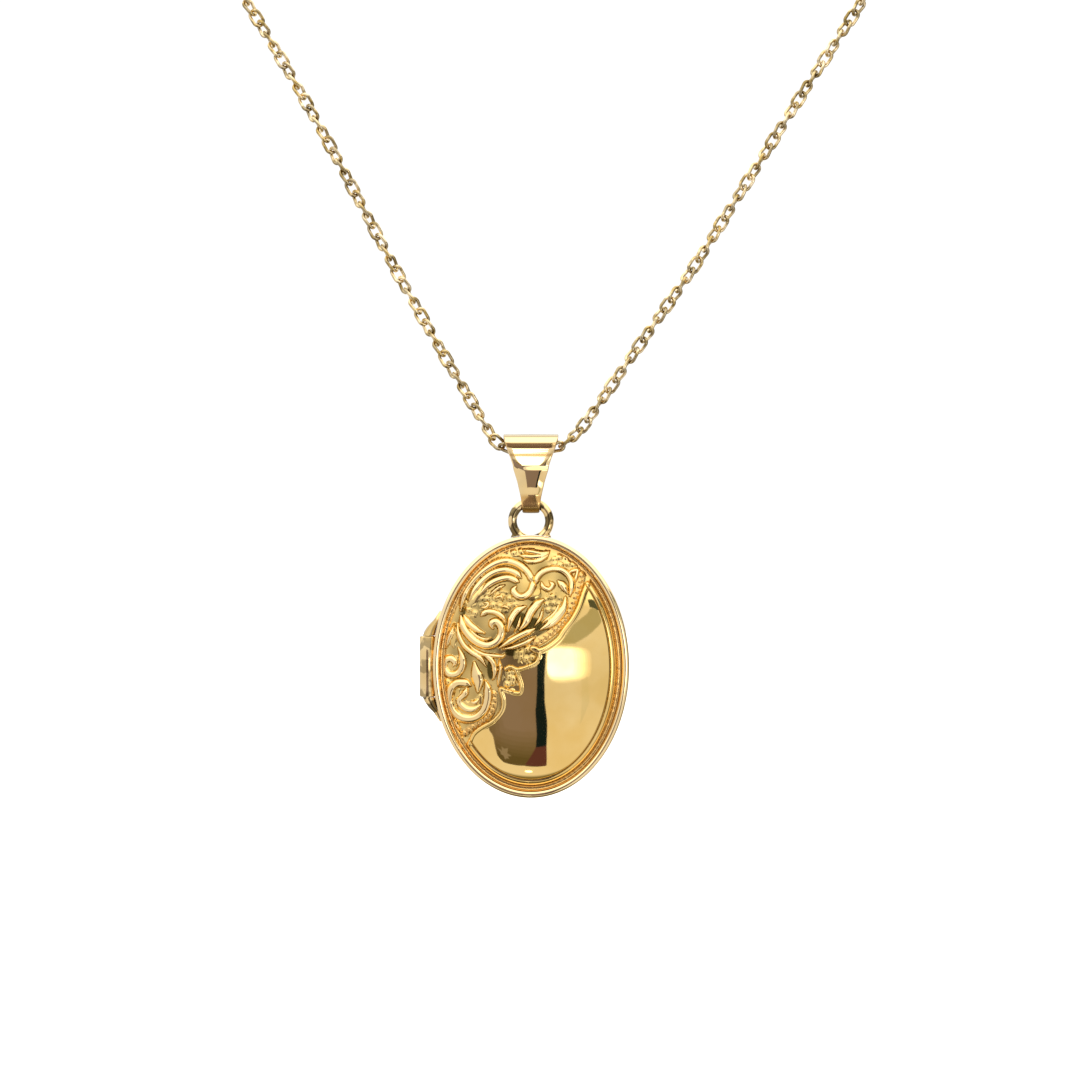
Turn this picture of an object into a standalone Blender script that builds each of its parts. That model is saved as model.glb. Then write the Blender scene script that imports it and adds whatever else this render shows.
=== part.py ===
"""Oval locket, hinged at its side and hung by a strap bail from a fine twisted chain.

Units are metres, +Z is up and the locket's face looks along -Y. The origin is the centre of the bail's eye, the
tube that the chain runs through. The two covers meet on the plane y = 0.
"""

import math

import bmesh
import bpy
from mathutils import Matrix, Vector

MM = 0.001

# Oval covers
OVAL_HALF_WIDTH = 7.5 * MM
OVAL_HALF_HEIGHT = 10.0 * MM
OVAL_Z = -16.48 * MM
OVAL_SEGMENTS = 48
PARTING_GAP = 0.04 * MM
RIM_BEAD_RADIUS = 0.28 * MM
RIM_BEAD_HEIGHT = 0.62 * MM
BORDER_WIDTH = 1.45 * MM
DOME_FOOT = 1.06 * MM
DOME_TOP = 2.60 * MM
SHELL_WALL = 0.40 * MM
REBATE_INSET = 0.55 * MM
REBATE_DEPTH = 0.34 * MM
CAVITY_INSET = 1.00 * MM
CAVITY_SLOPE_INSET = 1.45 * MM
CAVITY_SLOPE_HEIGHT = 0.66 * MM
CROWN_FLAT = 0.18

# Pieces inside the covers
CATCH_RIM_INSETS = (0.61 * MM, 0.88 * MM)
CATCH_RIM_REACH = 0.28 * MM
PHOTO_FRAME_INSETS = (1.08 * MM, 1.95 * MM)
WINDOW_INSET = 1.50 * MM
FRAME_LAYER = (0.05 * MM, 0.30 * MM)
WINDOW_LAYER = (0.34 * MM, 0.50 * MM)
CARD_LAYER = (0.53 * MM, 0.63 * MM)

# Side hinge
HINGE_X = -7.88 * MM
BARREL_RADIUS = 0.62 * MM
HINGE_NOTCH_RADIUS = 0.70 * MM
PIN_RADIUS = 0.18 * MM
PIN_BORE_RADIUS = 0.22 * MM
MIDDLE_BARREL_HALF = 2.33 * MM
NOTCH_HALF = 2.50 * MM
PIN_HALF_LENGTH = 2.55 * MM
RIM_SEAT_GAP = 0.04 * MM
# Shoulders beyond the middle barrel, in millimetres: height, leftmost X, radius, Y of the middle
SHOULDER_STATIONS = ((2.40, -8.26, 0.47, 0.0), (2.75, -8.08, 0.44, 0.06), (3.15, -7.80, 0.37, 0.09),
                     (3.55, -7.42, 0.27, 0.10), (3.90, -7.18, 0.19, 0.10), (4.20, -6.98, 0.10, 0.10))

# Suspension ring, parallel to the face
RING_Z = -5.385 * MM
RING_RADIUS = 1.41 * MM
RING_WIRE = 0.34 * MM
RING_FOOT_HALF_WIDTH = 1.5 * MM
RING_FOOT_HALF_HEIGHT = 0.30 * MM
RING_FOOT_SINK = 0.12 * MM

# Bail: a tapered strap, its middle line in the YZ plane from the top of the eye down its front
STRAP_HALF_THICKNESS = 0.12 * MM
STRAP_FRONT = ((0.0, 1.12), (-0.38, 1.07), (-0.74, 0.93), (-0.99, 0.70), (-1.09, 0.42), (-1.08, 0.10),
               (-1.02, -0.25), (-0.94, -0.60), (-0.85, -0.95), (-0.76, -1.25), (-0.68, -1.50), (-0.58, -1.90),
               (-0.53, -2.40), (-0.52, -2.90), (-0.56, -3.40))
BAIL_HOOK_Z = -4.055 * MM
HOOK_MID_RADIUS = 0.61 * MM
STRAP_HALF_WIDTHS = ((1.24, 2.10), (0.75, 2.04), (0.1, 1.84), (-0.5, 1.60), (-1.1, 1.34), (-2.3, 1.02),
                     (-3.5, 0.81), (-4.5, 0.66))

# Chain: the route of each strand's middle line, X and Z in millimetres, from the eye outwards
CHAIN_RADIUS = 0.52 * MM
LEFT_ROUTE = ((-0.2, 0.10), (-0.8, 0.12), (-1.5, 0.14), (-2.15, 0.32), (-2.75, 0.80), (-3.4, 1.76), (-4.3, 3.28),
              (-5.4, 5.15), (-6.7, 7.35), (-8.4, 10.35), (-10.2, 13.55), (-12.3, 17.50), (-14.4, 21.50),
              (-16.3, 25.00), (-18.2, 28.40), (-20.0, 31.45), (-21.6, 34.05), (-22.9, 36.15))
RIGHT_ROUTE = ((0.2, 0.10), (0.8, 0.12), (1.5, 0.14), (2.15, 0.32), (2.85, 0.74), (3.65, 1.48), (4.5, 2.58),
               (5.5, 4.00), (6.6, 5.60), (7.8, 7.35), (10.0, 10.50), (12.4, 13.95), (14.9, 17.95),
               (17.5, 22.10), (20.0, 26.10), (22.6, 30.15), (25.2, 34.15), (26.5, 36.15))
CHAIN_STEP = 1.7 * MM
JUMP_RING_RADIUS = 0.85 * MM
JUMP_RING_WIRE = 0.20 * MM
CHAIN_END_GAP = 0.08 * MM

# Bolt-ring clasp and its tab
CLASP_RADIUS = 2.20 * MM
CLASP_TUBE_RADIUS = 0.55 * MM
CLASP_BORE_RADIUS = 0.36 * MM
BOLT_RADIUS = 0.30 * MM
CLASP_LOOP_RADIUS = 0.70 * MM
CLASP_LOOP_WIRE = 0.20 * MM
CLASP_ARC = (62.0, 375.0)
BOLT_ARC = (4.0, 118.0)
LEVER_ANGLE = 92.0
SLOT_ARC = (86.0, 138.0)
SPRING_ARC = (124.0, 196.0)
SPRING_TURNS = 7
TAG_HALF_LENGTH = 2.7 * MM
TAG_HALF_WIDTH = 1.25 * MM
TAG_HALF_THICKNESS = 0.22 * MM
TAG_EYE_RADIUS = 0.65 * MM
TAG_EYE_OFFSET = 1.55 * MM

GOLD = (0.85, 0.60, 0.27)


def clear_scene():
    for obj in list(bpy.data.objects):
        bpy.data.objects.remove(obj)


def collection(name):
    made = bpy.data.collections.new(name)
    bpy.context.scene.collection.children.link(made)
    return made


def material(name, colour, roughness, metallic):
    made = bpy.data.materials.new(name)
    made.use_nodes = True
    shader = made.node_tree.nodes["Principled BSDF"]
    shader.inputs["Base Color"].default_value = (*colour, 1.0)
    shader.inputs["Roughness"].default_value = roughness
    shader.inputs["Metallic"].default_value = metallic
    return made


def add_object(name, data, colour=GOLD, roughness=0.2, metallic=1.0):
    """Links a mesh or curve into the locket's collection with its own material."""
    made = bpy.data.objects.new(name, data)
    PARTS.objects.link(made)
    data.materials.append(material(name, colour, roughness, metallic))
    return made


def hide_as_cutter(obj):
    for holder in list(obj.users_collection):
        holder.objects.unlink(obj)
    CUTTERS.objects.link(obj)
    obj.hide_render = True
    obj.display_type = "WIRE"


def mesh_from(build, name, sharp_degrees=35.0):
    """A mesh filled by build(bm), shaded smooth with sharp edges kept."""
    bm = bmesh.new()
    build(bm)
    bmesh.ops.recalc_face_normals(bm, faces=bm.faces)
    mesh = bpy.data.meshes.new(name)
    bm.to_mesh(mesh)
    bm.free()
    mesh.shade_smooth()
    mesh.set_sharp_from_angle(angle=math.radians(sharp_degrees))
    return mesh


def curve_to_mesh(obj):
    """Replaces a curve object with a closed mesh object of the same name and place."""
    name = obj.name
    evaluated = obj.evaluated_get(bpy.context.evaluated_depsgraph_get())
    mesh = bpy.data.meshes.new_from_object(evaluated)
    matrix = obj.matrix_world.copy()
    bpy.data.objects.remove(obj)
    bm = bmesh.new()
    bm.from_mesh(mesh)
    bmesh.ops.remove_doubles(bm, verts=bm.verts, dist=0.002 * MM)
    bmesh.ops.recalc_face_normals(bm, faces=bm.faces)
    bm.to_mesh(mesh)
    bm.free()
    made = bpy.data.objects.new(name, mesh)
    made.matrix_world = matrix
    PARTS.objects.link(made)
    return made


def boolean(obj, cutter, operation):
    """Applies a cutter or an addition to a piece, then removes the cutter object."""
    hide_as_cutter(cutter)
    modifier = obj.modifiers.new(operation.lower(), "BOOLEAN")
    modifier.operation = operation
    modifier.solver = "EXACT"
    modifier.object = cutter
    bpy.context.view_layer.update()
    evaluated = obj.evaluated_get(bpy.context.evaluated_depsgraph_get())
    mesh = bpy.data.meshes.new_from_object(evaluated)
    obj.modifiers.clear()
    obj.data = mesh
    bpy.data.objects.remove(cutter)


def cylinder(name, radius, start, end, sides=24, radius_end=None):
    """A cylinder or cone between two points."""
    start = Vector(start)
    end = Vector(end)
    turn = (end - start).to_track_quat("Z", "Y").to_matrix().to_4x4()

    def build(bm):
        bmesh.ops.create_cone(bm, cap_ends=True, segments=sides, radius1=radius,
                              radius2=radius if radius_end is None else radius_end,
                              depth=(end - start).length,
                              matrix=Matrix.Translation((start + end) / 2) @ turn)

    return add_object(name, mesh_from(build, name))


def torus(name, radius, wire, matrix, sides=36, wire_sides=12):
    """A turned ring: a circle swept around the matrix's Z axis, which is the ring's own axis."""
    def build(bm):
        rings = []
        for i in range(sides):
            around = 2 * math.pi * i / sides
            ring = []
            for j in range(wire_sides):
                tilt = 2 * math.pi * j / wire_sides
                reach = radius + wire * math.cos(tilt)
                point = Vector((reach * math.cos(around), reach * math.sin(around), wire * math.sin(tilt)))
                ring.append(bm.verts.new(matrix @ point))
            rings.append(ring)
        bridge(bm, rings, closed=True)

    return add_object(name, mesh_from(build, name, 60.0))


def bridge(bm, rings, closed=False):
    """Faces between neighbouring rings of vertices; closed joins the last ring to the first."""
    pairs = list(zip(rings, rings[1:]))
    if closed:
        pairs.append((rings[-1], rings[0]))
    for first, second in pairs:
        count = len(first)
        for i in range(count):
            j = (i + 1) % count
            bm.faces.new((first[i], first[j], second[j], second[i]))


def oval_ring(bm, inset, y, segments=OVAL_SEGMENTS):
    """One oval of vertices on the locket's outline, moved inwards by inset, at depth y."""
    ring = []
    for i in range(segments):
        angle = 2 * math.pi * i / segments
        x = (OVAL_HALF_WIDTH - inset) * math.cos(angle)
        z = OVAL_Z + (OVAL_HALF_HEIGHT - inset) * math.sin(angle)
        ring.append(bm.verts.new((x, y, z)))
    return ring


def dome_ring(bm, share, height, side):
    """One oval of a dome: share is its size, from 1 at the dome's foot to 0 at the crown."""
    ring = []
    for i in range(OVAL_SEGMENTS):
        angle = 2 * math.pi * i / OVAL_SEGMENTS
        x = share * (OVAL_HALF_WIDTH - BORDER_WIDTH) * math.cos(angle)
        z = OVAL_Z + share * (OVAL_HALF_HEIGHT - BORDER_WIDTH) * math.sin(angle)
        ring.append(bm.verts.new((x, side * height, z)))
    return ring


def dome_height(share, foot, top):
    return foot + (top - foot) * (1 - share * share) ** 0.8


def rim_profile():
    """Inset and height of the border: wall, half-round rim, groove, and the band rising to the dome."""
    points = [(0.0, PARTING_GAP / 2)]
    for i in range(6):
        angle = math.pi * i / 6
        points.append((RIM_BEAD_RADIUS * (1 - math.cos(angle)),
                       RIM_BEAD_HEIGHT + RIM_BEAD_RADIUS * math.sin(angle)))
    points += [(0.66 * MM, 0.58 * MM), (0.86 * MM, 0.60 * MM), (0.98 * MM, 0.74 * MM), (1.20 * MM, 0.96 * MM),
               (1.40 * MM, 1.07 * MM)]
    return points


def cover(name, side):
    """A domed oval shell; side is -1 for the front and +1 for the back."""
    outer_shares = (1.0, 0.97, 0.9, 0.78, 0.62, 0.42, CROWN_FLAT)
    inner_shares = (CROWN_FLAT, 0.42, 0.66, 0.84, 0.94)

    def build(bm):
        rings = [oval_ring(bm, inset, side * height) for inset, height in rim_profile()]
        for share in outer_shares:
            rings.append(dome_ring(bm, share, dome_height(share, DOME_FOOT, DOME_TOP), side))
        bridge(bm, rings)
        bm.faces.new(rings[-1])
        inner = []
        for share in inner_shares:
            height = dome_height(share, DOME_FOOT, DOME_TOP) - SHELL_WALL
            inner.append(dome_ring(bm, share, height, side))
        inner.append(oval_ring(bm, CAVITY_SLOPE_INSET, side * CAVITY_SLOPE_HEIGHT))
        inner.append(oval_ring(bm, CAVITY_INSET, side * (REBATE_DEPTH + 0.02 * MM)))
        inner.append(oval_ring(bm, REBATE_INSET, side * REBATE_DEPTH))
        inner.append(oval_ring(bm, REBATE_INSET, side * PARTING_GAP / 2))
        bridge(bm, inner)
        bm.faces.new(inner[0])
        bridge(bm, [inner[-1], rings[0]])

    made = add_object(name, mesh_from(build, name))
    notch = cylinder("hinge_notch", HINGE_NOTCH_RADIUS, (HINGE_X, 0, OVAL_Z - NOTCH_HALF),
                     (HINGE_X, 0, OVAL_Z + NOTCH_HALF), sides=32)
    boolean(made, notch, "DIFFERENCE")
    return made


def oval_band(name, insets, heights, side, colour=GOLD, roughness=0.25):
    """A flat oval ring between two insets and two heights, with its inner front edge softened."""
    outer, inner = insets
    low, high = heights
    soften = 0.35 * (high - low)

    def build(bm):
        profile = ((outer, low), (outer, high), (inner, high), (inner, low + soften), (inner - soften, low))
        rings = [oval_ring(bm, inset, side * height) for inset, height in profile]
        bridge(bm, rings, closed=True)

    return add_object(name, mesh_from(build, name), colour, roughness)


def oval_sheet(name, inset, heights, side, colour, roughness):
    """A thin oval plate between two heights."""
    def build(bm):
        rings = [oval_ring(bm, inset, side * height) for height in heights]
        bridge(bm, rings)
        bm.faces.new(rings[0])
        bm.faces.new(rings[-1])

    return add_object(name, mesh_from(build, name), colour, roughness, 0.0)


def bore_for_pin(knuckle):
    reach = PIN_HALF_LENGTH + 0.05 * MM
    bore = cylinder("pin_bore", PIN_BORE_RADIUS, (HINGE_X, 0, OVAL_Z - reach), (HINGE_X, 0, OVAL_Z + reach), 16)
    boolean(knuckle, bore, "DIFFERENCE")


def seat_on_rim(piece, half_depth):
    """Cuts a piece back to the covers' outline, a hair's gap clear of it."""
    def build(bm):
        rings = [oval_ring(bm, -RIM_SEAT_GAP, y, 96) for y in (-half_depth, half_depth)]
        bridge(bm, rings)
        bm.faces.new(rings[0])
        bm.faces.new(rings[-1])

    boolean(piece, add_object("rim_seat", mesh_from(build, "rim_seat")), "DIFFERENCE")


def shoulder(name, up):
    """A hinge shoulder that tapers from the middle barrel along the rim; up is +1 or -1."""
    sides = 20

    def build(bm):
        rings = []
        for height, left, radius, y in SHOULDER_STATIONS:
            centre = Vector((left + radius, y, 0)) * MM
            ring = []
            for i in range(sides):
                angle = 2 * math.pi * i / sides
                around = Vector((math.cos(angle), math.sin(angle), 0)) * radius * MM
                ring.append(bm.verts.new(centre + around + Vector((0, 0, OVAL_Z + up * height * MM))))
            rings.append(ring)
        bridge(bm, rings)
        bm.faces.new(rings[0])
        bm.faces.new(rings[-1])

    made = add_object(name, mesh_from(build, name))
    bore_for_pin(made)
    seat_on_rim(made, 2 * MM)


def hinge():
    middle = cylinder("hinge_knuckle_middle", BARREL_RADIUS, (HINGE_X, 0, OVAL_Z - MIDDLE_BARREL_HALF),
                      (HINGE_X, 0, OVAL_Z + MIDDLE_BARREL_HALF))
    bore_for_pin(middle)
    shoulder("hinge_knuckle_upper", 1)
    shoulder("hinge_knuckle_lower", -1)
    cylinder("hinge_pin", PIN_RADIUS, (HINGE_X, 0, OVAL_Z - PIN_HALF_LENGTH),
             (HINGE_X, 0, OVAL_Z + PIN_HALF_LENGTH), 16)


def suspension_ring():
    """A wire ring whose foot flares along the top of the rim."""
    face_plane = Matrix.Rotation(math.pi / 2, 4, "X")
    made = torus("suspension_ring", RING_RADIUS, RING_WIRE, Matrix.Translation((0, 0, RING_Z)) @ face_plane)

    def foot(bm):
        bmesh.ops.create_uvsphere(bm, u_segments=24, v_segments=12, radius=1.0)
        bmesh.ops.scale(bm, verts=bm.verts, vec=(RING_FOOT_HALF_WIDTH, 0.97 * RING_WIRE, RING_FOOT_HALF_HEIGHT))
        bmesh.ops.translate(bm, verts=bm.verts, vec=(0, 0, OVAL_Z + OVAL_HALF_HEIGHT - RING_FOOT_SINK))

    boolean(made, add_object("ring_foot", mesh_from(foot, "ring_foot")), "UNION")
    seat_on_rim(made, 1 * MM)


def strap_half_width(z):
    """The strap's half width at a height, read between the stated heights."""
    table = STRAP_HALF_WIDTHS
    z = z / MM
    if z >= table[0][0]:
        return table[0][1] * MM
    for (z_high, w_high), (z_low, w_low) in zip(table, table[1:]):
        if z >= z_low:
            share = (z - z_low) / (z_high - z_low)
            return (w_low + share * (w_high - w_low)) * MM
    return table[-1][1] * MM


def strap_path():
    """Middle line of the bail seen from its side: the eye, two drawn-in legs and the hook under the ring."""
    front = [(y * MM, z * MM) for y, z in STRAP_FRONT]
    for i in range(6):
        angle = math.radians(172 + 16 * i)
        front.append((HOOK_MID_RADIUS * math.cos(angle), BAIL_HOOK_Z + HOOK_MID_RADIUS * math.sin(angle)))
    bottom = [(0.0, BAIL_HOOK_Z - HOOK_MID_RADIUS)]
    back = [(-y, z) for y, z in reversed(front[1:])]
    return front + bottom + back


def bail():
    """The strap, swept around its middle line with the width that each height has."""
    path = [Vector((0, y, z)) for y, z in strap_path()]
    count = len(path)

    def build(bm):
        rings = []
        for i, point in enumerate(path):
            ahead = (path[(i + 1) % count] - path[i - 1]).normalized()
            outward = Vector((0, ahead.z, -ahead.y))
            half = strap_half_width(point.z)
            edge = 0.45 * STRAP_HALF_THICKNESS
            section = ((-half, -edge), (-half, edge), (-half + edge, STRAP_HALF_THICKNESS),
                       (half - edge, STRAP_HALF_THICKNESS), (half, edge), (half, -edge),
                       (half - edge, -STRAP_HALF_THICKNESS), (-half + edge, -STRAP_HALF_THICKNESS))
            rings.append([bm.verts.new(point + Vector((x, 0, 0)) + outward * rise) for x, rise in section])
        bridge(bm, rings, closed=True)

    add_object("bail", mesh_from(build, "bail"))


def smooth_route(points, step):
    """Points a step apart along a smooth curve through the route's own points."""
    route = [Vector((x * MM, 0, z * MM)) for x, z in points]
    route = [2 * route[0] - route[1]] + route + [2 * route[-1] - route[-2]]
    dense = []
    for p0, p1, p2, p3 in zip(route, route[1:], route[2:], route[3:]):
        for i in range(20):
            t = i / 20
            dense.append(0.5 * (2 * p1 + (p2 - p0) * t + (2 * p0 - 5 * p1 + 4 * p2 - p3) * t * t
                                + (3 * p1 - p0 - 3 * p2 + p3) * t ** 3))
    dense.append(route[-2])
    length = sum((b - a).length for a, b in zip(dense, dense[1:]))
    count = max(2, round(length / step))
    spaced = [dense[0]]
    walked = 0.0
    for a, b in zip(dense, dense[1:]):
        walked += (b - a).length
        if walked >= length * len(spaced) / count and len(spaced) < count:
            spaced.append(b)
    spaced.append(dense[-1])
    return spaced


def tube(name, points, radius, resolution=2):
    """A curve object with a round bevel through the points."""
    data = bpy.data.curves.new(name, "CURVE")
    data.dimensions = "3D"
    data.bevel_depth = radius
    data.bevel_resolution = resolution
    data.use_fill_caps = True
    spline = data.splines.new("POLY")
    spline.points.add(len(points) - 1)
    for point, place in zip(spline.points, points):
        point.co = (*place, 1.0)
    return add_object(name, data)


def end_direction(route):
    """Unit vector along the last stretch of a strand, away from the bail."""
    (x1, z1), (x2, z2) = route[-2:]
    return Vector((x2 - x1, 0, z2 - z1)).normalized()


def end_frame(centre, along):
    """Places a ring at centre with its axis across both the strand and the depth, so it stands edge-on."""
    across = along.cross(Vector((0, 1, 0)))
    return Matrix.Translation(centre) @ across.to_track_quat("Z", "Y").to_matrix().to_4x4()


def chain_side(side, route):
    """One strand and its end ring; gives back the ring's centre and the strand's direction."""
    tube(f"chain_strand_{side}", smooth_route(route, CHAIN_STEP), CHAIN_RADIUS)
    along = end_direction(route)
    x, z = route[-1]
    end = Vector((x * MM, 0, z * MM))
    centre = end + along * (JUMP_RING_RADIUS + JUMP_RING_WIRE + CHAIN_END_GAP)
    torus(f"jump_ring_{side}", JUMP_RING_RADIUS, JUMP_RING_WIRE, end_frame(centre, along), 24, 8)
    return centre, along


def arc_points(centre, along, radius, start, end, count):
    """Points on an arc in the face's plane; angles run from the strand's direction."""
    across = Vector((0, 1, 0)).cross(along)
    points = []
    for i in range(count):
        angle = math.radians(start + (end - start) * i / (count - 1))
        points.append(centre + radius * (math.cos(angle) * along + math.sin(angle) * across))
    return points


def clasp(ring_centre, along):
    """Bolt ring: an open tube bent round, with a loop for the jump ring, a sprung bolt and its thumb lever."""
    loop_centre = ring_centre + along * (JUMP_RING_RADIUS + CLASP_LOOP_RADIUS - JUMP_RING_WIRE - CLASP_LOOP_WIRE
                                         - 0.05 * MM)
    centre = loop_centre + along * (CLASP_LOOP_RADIUS + CLASP_RADIUS + 0.45 * CLASP_TUBE_RADIUS)
    body = curve_to_mesh(tube("clasp_body", arc_points(centre, along, CLASP_RADIUS, *CLASP_ARC, 34),
                              CLASP_TUBE_RADIUS, 3))
    face_plane = Matrix.Rotation(math.pi / 2, 4, "X")
    loop = torus("loop", CLASP_LOOP_RADIUS, CLASP_LOOP_WIRE, Matrix.Translation(loop_centre) @ face_plane, 24, 8)
    boolean(body, loop, "UNION")
    bore = curve_to_mesh(tube("bore", arc_points(centre, along, CLASP_RADIUS, CLASP_ARC[0] - 5,
                                                 CLASP_ARC[1] + 5, 34), CLASP_BORE_RADIUS, 2))
    boolean(body, bore, "DIFFERENCE")
    slot_points = arc_points(centre, along, CLASP_RADIUS + CLASP_TUBE_RADIUS, *SLOT_ARC, 10)
    slot = curve_to_mesh(tube("slot", slot_points, 0.24 * MM, 1))
    boolean(body, slot, "DIFFERENCE")
    bolt = curve_to_mesh(tube("clasp_bolt", arc_points(centre, along, CLASP_RADIUS, *BOLT_ARC, 16),
                              BOLT_RADIUS, 2))
    root, tip = (arc_points(centre, along, CLASP_RADIUS + reach, LEVER_ANGLE, LEVER_ANGLE + 1, 2)[0]
                 for reach in (0.10 * MM, 1.25 * MM))
    lever = cylinder("lever", 0.17 * MM, root, tip, 12)
    boolean(bolt, lever, "UNION")

    def knob(bm):
        bmesh.ops.create_uvsphere(bm, u_segments=12, v_segments=8, radius=0.34 * MM)
        bmesh.ops.translate(bm, verts=bm.verts, vec=tip)

    boolean(bolt, add_object("knob", mesh_from(knob, "knob")), "UNION")
    spring_points = []
    per_turn = 9
    for i in range(SPRING_TURNS * per_turn + 1):
        share = i / (SPRING_TURNS * per_turn)
        angle = SPRING_ARC[0] + share * (SPRING_ARC[1] - SPRING_ARC[0])
        middle, outer = (arc_points(centre, along, CLASP_RADIUS + r, angle, angle + 1, 2)[0] for r in (0, 1 * MM))
        radial = (outer - middle).normalized()
        turn = 2 * math.pi * i / per_turn
        spring_points.append(middle + 0.25 * MM * (math.cos(turn) * radial + math.sin(turn) * Vector((0, 1, 0))))
    tube("clasp_spring", spring_points, 0.05 * MM, 0)


def clasp_tag(ring_centre, along):
    """A flat tab with rounded ends and an eye at each end."""
    centre = ring_centre + along * (JUMP_RING_RADIUS - JUMP_RING_WIRE + TAG_EYE_RADIUS - 0.05 * MM + TAG_EYE_OFFSET)
    data = bpy.data.curves.new("clasp_tag", "CURVE")
    data.dimensions = "2D"
    data.fill_mode = "BOTH"
    data.extrude = TAG_HALF_THICKNESS - 0.06 * MM
    data.bevel_depth = 0.06 * MM
    data.bevel_resolution = 1
    outline = []
    for end in (1, -1):
        for i in range(13):
            angle = math.radians(-90 + 15 * i)
            outline.append((end * (TAG_HALF_LENGTH - TAG_HALF_WIDTH + TAG_HALF_WIDTH * math.cos(angle)),
                            end * TAG_HALF_WIDTH * math.sin(angle)))
    loops = [outline]
    for end in (1, -1):
        loops.append([(end * TAG_EYE_OFFSET + TAG_EYE_RADIUS * math.cos(2 * math.pi * i / 16),
                       TAG_EYE_RADIUS * math.sin(2 * math.pi * i / 16)) for i in range(16)])
    for points in loops:
        spline = data.splines.new("POLY")
        spline.points.add(len(points) - 1)
        spline.use_cyclic_u = True
        for point, (x, y) in zip(spline.points, points):
            point.co = (x, y, 0.0, 1.0)
    made = add_object("clasp_tag", data)
    across = Vector((0, 1, 0)).cross(along)
    turn = Matrix((along, across, along.cross(across))).transposed().to_4x4()
    made.matrix_world = Matrix.Translation(centre) @ turn
    bpy.context.view_layer.update()
    curve_to_mesh(made)


def photo_parts(half, side):
    oval_band(f"{half}_photo_frame", PHOTO_FRAME_INSETS, FRAME_LAYER, side)
    oval_sheet(f"{half}_window", WINDOW_INSET, WINDOW_LAYER, side, (0.9, 0.93, 0.95), 0.05)
    oval_sheet(f"{half}_photo_card", WINDOW_INSET, CARD_LAYER, side, (0.93, 0.9, 0.82), 0.8)


clear_scene()
PARTS = collection("locket")
CUTTERS = collection("cutters")
cover("front_cover", -1)
cover("back_cover", 1)
oval_band("catch_rim", CATCH_RIM_INSETS, (-CATCH_RIM_REACH, CATCH_RIM_REACH), 1)
photo_parts("front", -1)
photo_parts("back", 1)
hinge()
suspension_ring()
bail()
clasp(*chain_side("left", LEFT_ROUTE))
clasp_tag(*chain_side("right", RIGHT_ROUTE))
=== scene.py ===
"""Looks of the oval locket, its bail and its twisted chain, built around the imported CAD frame.

Metres, the CAD's own frame: +Z up, the face looks along -Y, the origin is the centre of the bail's eye.
"""
import math

import bmesh
import bpy
import numpy as np
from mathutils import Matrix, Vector


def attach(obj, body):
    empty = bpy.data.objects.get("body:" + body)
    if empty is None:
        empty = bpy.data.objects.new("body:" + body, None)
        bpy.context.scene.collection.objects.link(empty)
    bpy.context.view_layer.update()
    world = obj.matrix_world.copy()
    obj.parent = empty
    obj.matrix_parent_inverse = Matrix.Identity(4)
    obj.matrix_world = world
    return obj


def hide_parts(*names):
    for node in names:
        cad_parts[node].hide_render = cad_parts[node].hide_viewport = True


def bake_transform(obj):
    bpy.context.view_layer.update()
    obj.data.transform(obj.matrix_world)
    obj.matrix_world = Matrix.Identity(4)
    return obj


MM = 0.001

# Sizes shared with the CAD, in millimetres where a name ends in _MM
OVAL_Z_MM = -16.48
OVAL_A_MM = 7.5
OVAL_B_MM = 10.0
DOME_INSET_MM = 1.45
FIELD_INSET_MM = 0.92
DOME_FOOT_MM = 1.06
DOME_TOP_MM = 2.57
SHELL_WALL_MM = 0.40
FOOT_RING_INSETS = (1.55, 1.50, 1.47, 1.45, 1.43, 1.41, 1.38, 1.32, 1.24, 1.16, 1.08, 1.0, 0.92)
HINGE_X_MM = -7.88
HINGE_NOTCH_MM = 0.70
NOTCH_HALF_MM = 2.38
PIN_BORE_MM = 0.22
PARTING_HALF_MM = 0.02

# The chain's route, X and Z in millimetres, the same points as in the CAD
LEFT_ROUTE = (
    (-0.2, 0.10), (-0.8, 0.12), (-1.5, 0.14), (-2.15, 0.32), (-2.75, 0.80), (-3.4, 1.76), (-4.3, 3.28),
    (-5.4, 5.15), (-6.7, 7.35), (-8.4, 10.35), (-10.2, 13.55), (-12.3, 17.50), (-14.4, 21.50),
    (-16.3, 25.00), (-18.2, 28.40), (-20.0, 31.45), (-21.6, 34.05), (-22.9, 36.15)
)
RIGHT_ROUTE = (
    (0.2, 0.10), (0.8, 0.12), (1.5, 0.14), (2.15, 0.32), (2.85, 0.74), (3.65, 1.48), (4.5, 2.58),
    (5.5, 4.00), (6.6, 5.60), (7.8, 7.35), (10.0, 10.50), (12.4, 13.95), (14.9, 17.95), (17.5, 22.10),
    (20.0, 26.10), (22.6, 30.15), (25.2, 34.15), (26.5, 36.15)
)
LINK_PITCH_MM = 0.93
LINK_LENGTH_MM = 1.54
LINK_WIDTH_MM = 1.02
LINK_WIRE_MM = 0.130
LINK_TWIST = math.radians(-24)
JUMP_RING_MM = 0.85
JUMP_WIRE_MM = 0.20
CLASP_MM = 2.20
CLASP_TUBE_MM = 0.55
CLASP_BORE_MM = 0.36
BOLT_MM = 0.30
CLASP_LOOP_MM = 0.70
SPRING_TURNS = 7
TAG_HALF_LENGTH_MM = 2.7
TAG_HALF_WIDTH_MM = 1.25
TAG_HALF_THICK_MM = 0.22
TAG_EYE_MM = 0.65
TAG_EYE_OFFSET_MM = 1.55
CLASP_SLOT_MM = 0.24
LEVER_MM = 0.17
KNOB_MM = 0.34
SPRING_COIL_MM = 0.25
SPRING_WIRE_MM = 0.05
RING_Z_MM = -5.385
RING_MM = 1.41
RING_WIRE_MM = 0.34
BARREL_MM = 0.62
BARREL_HALF_MM = 2.33
FOOT_MM = 0.62
SEAT_GAP_MM = 0.03
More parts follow.
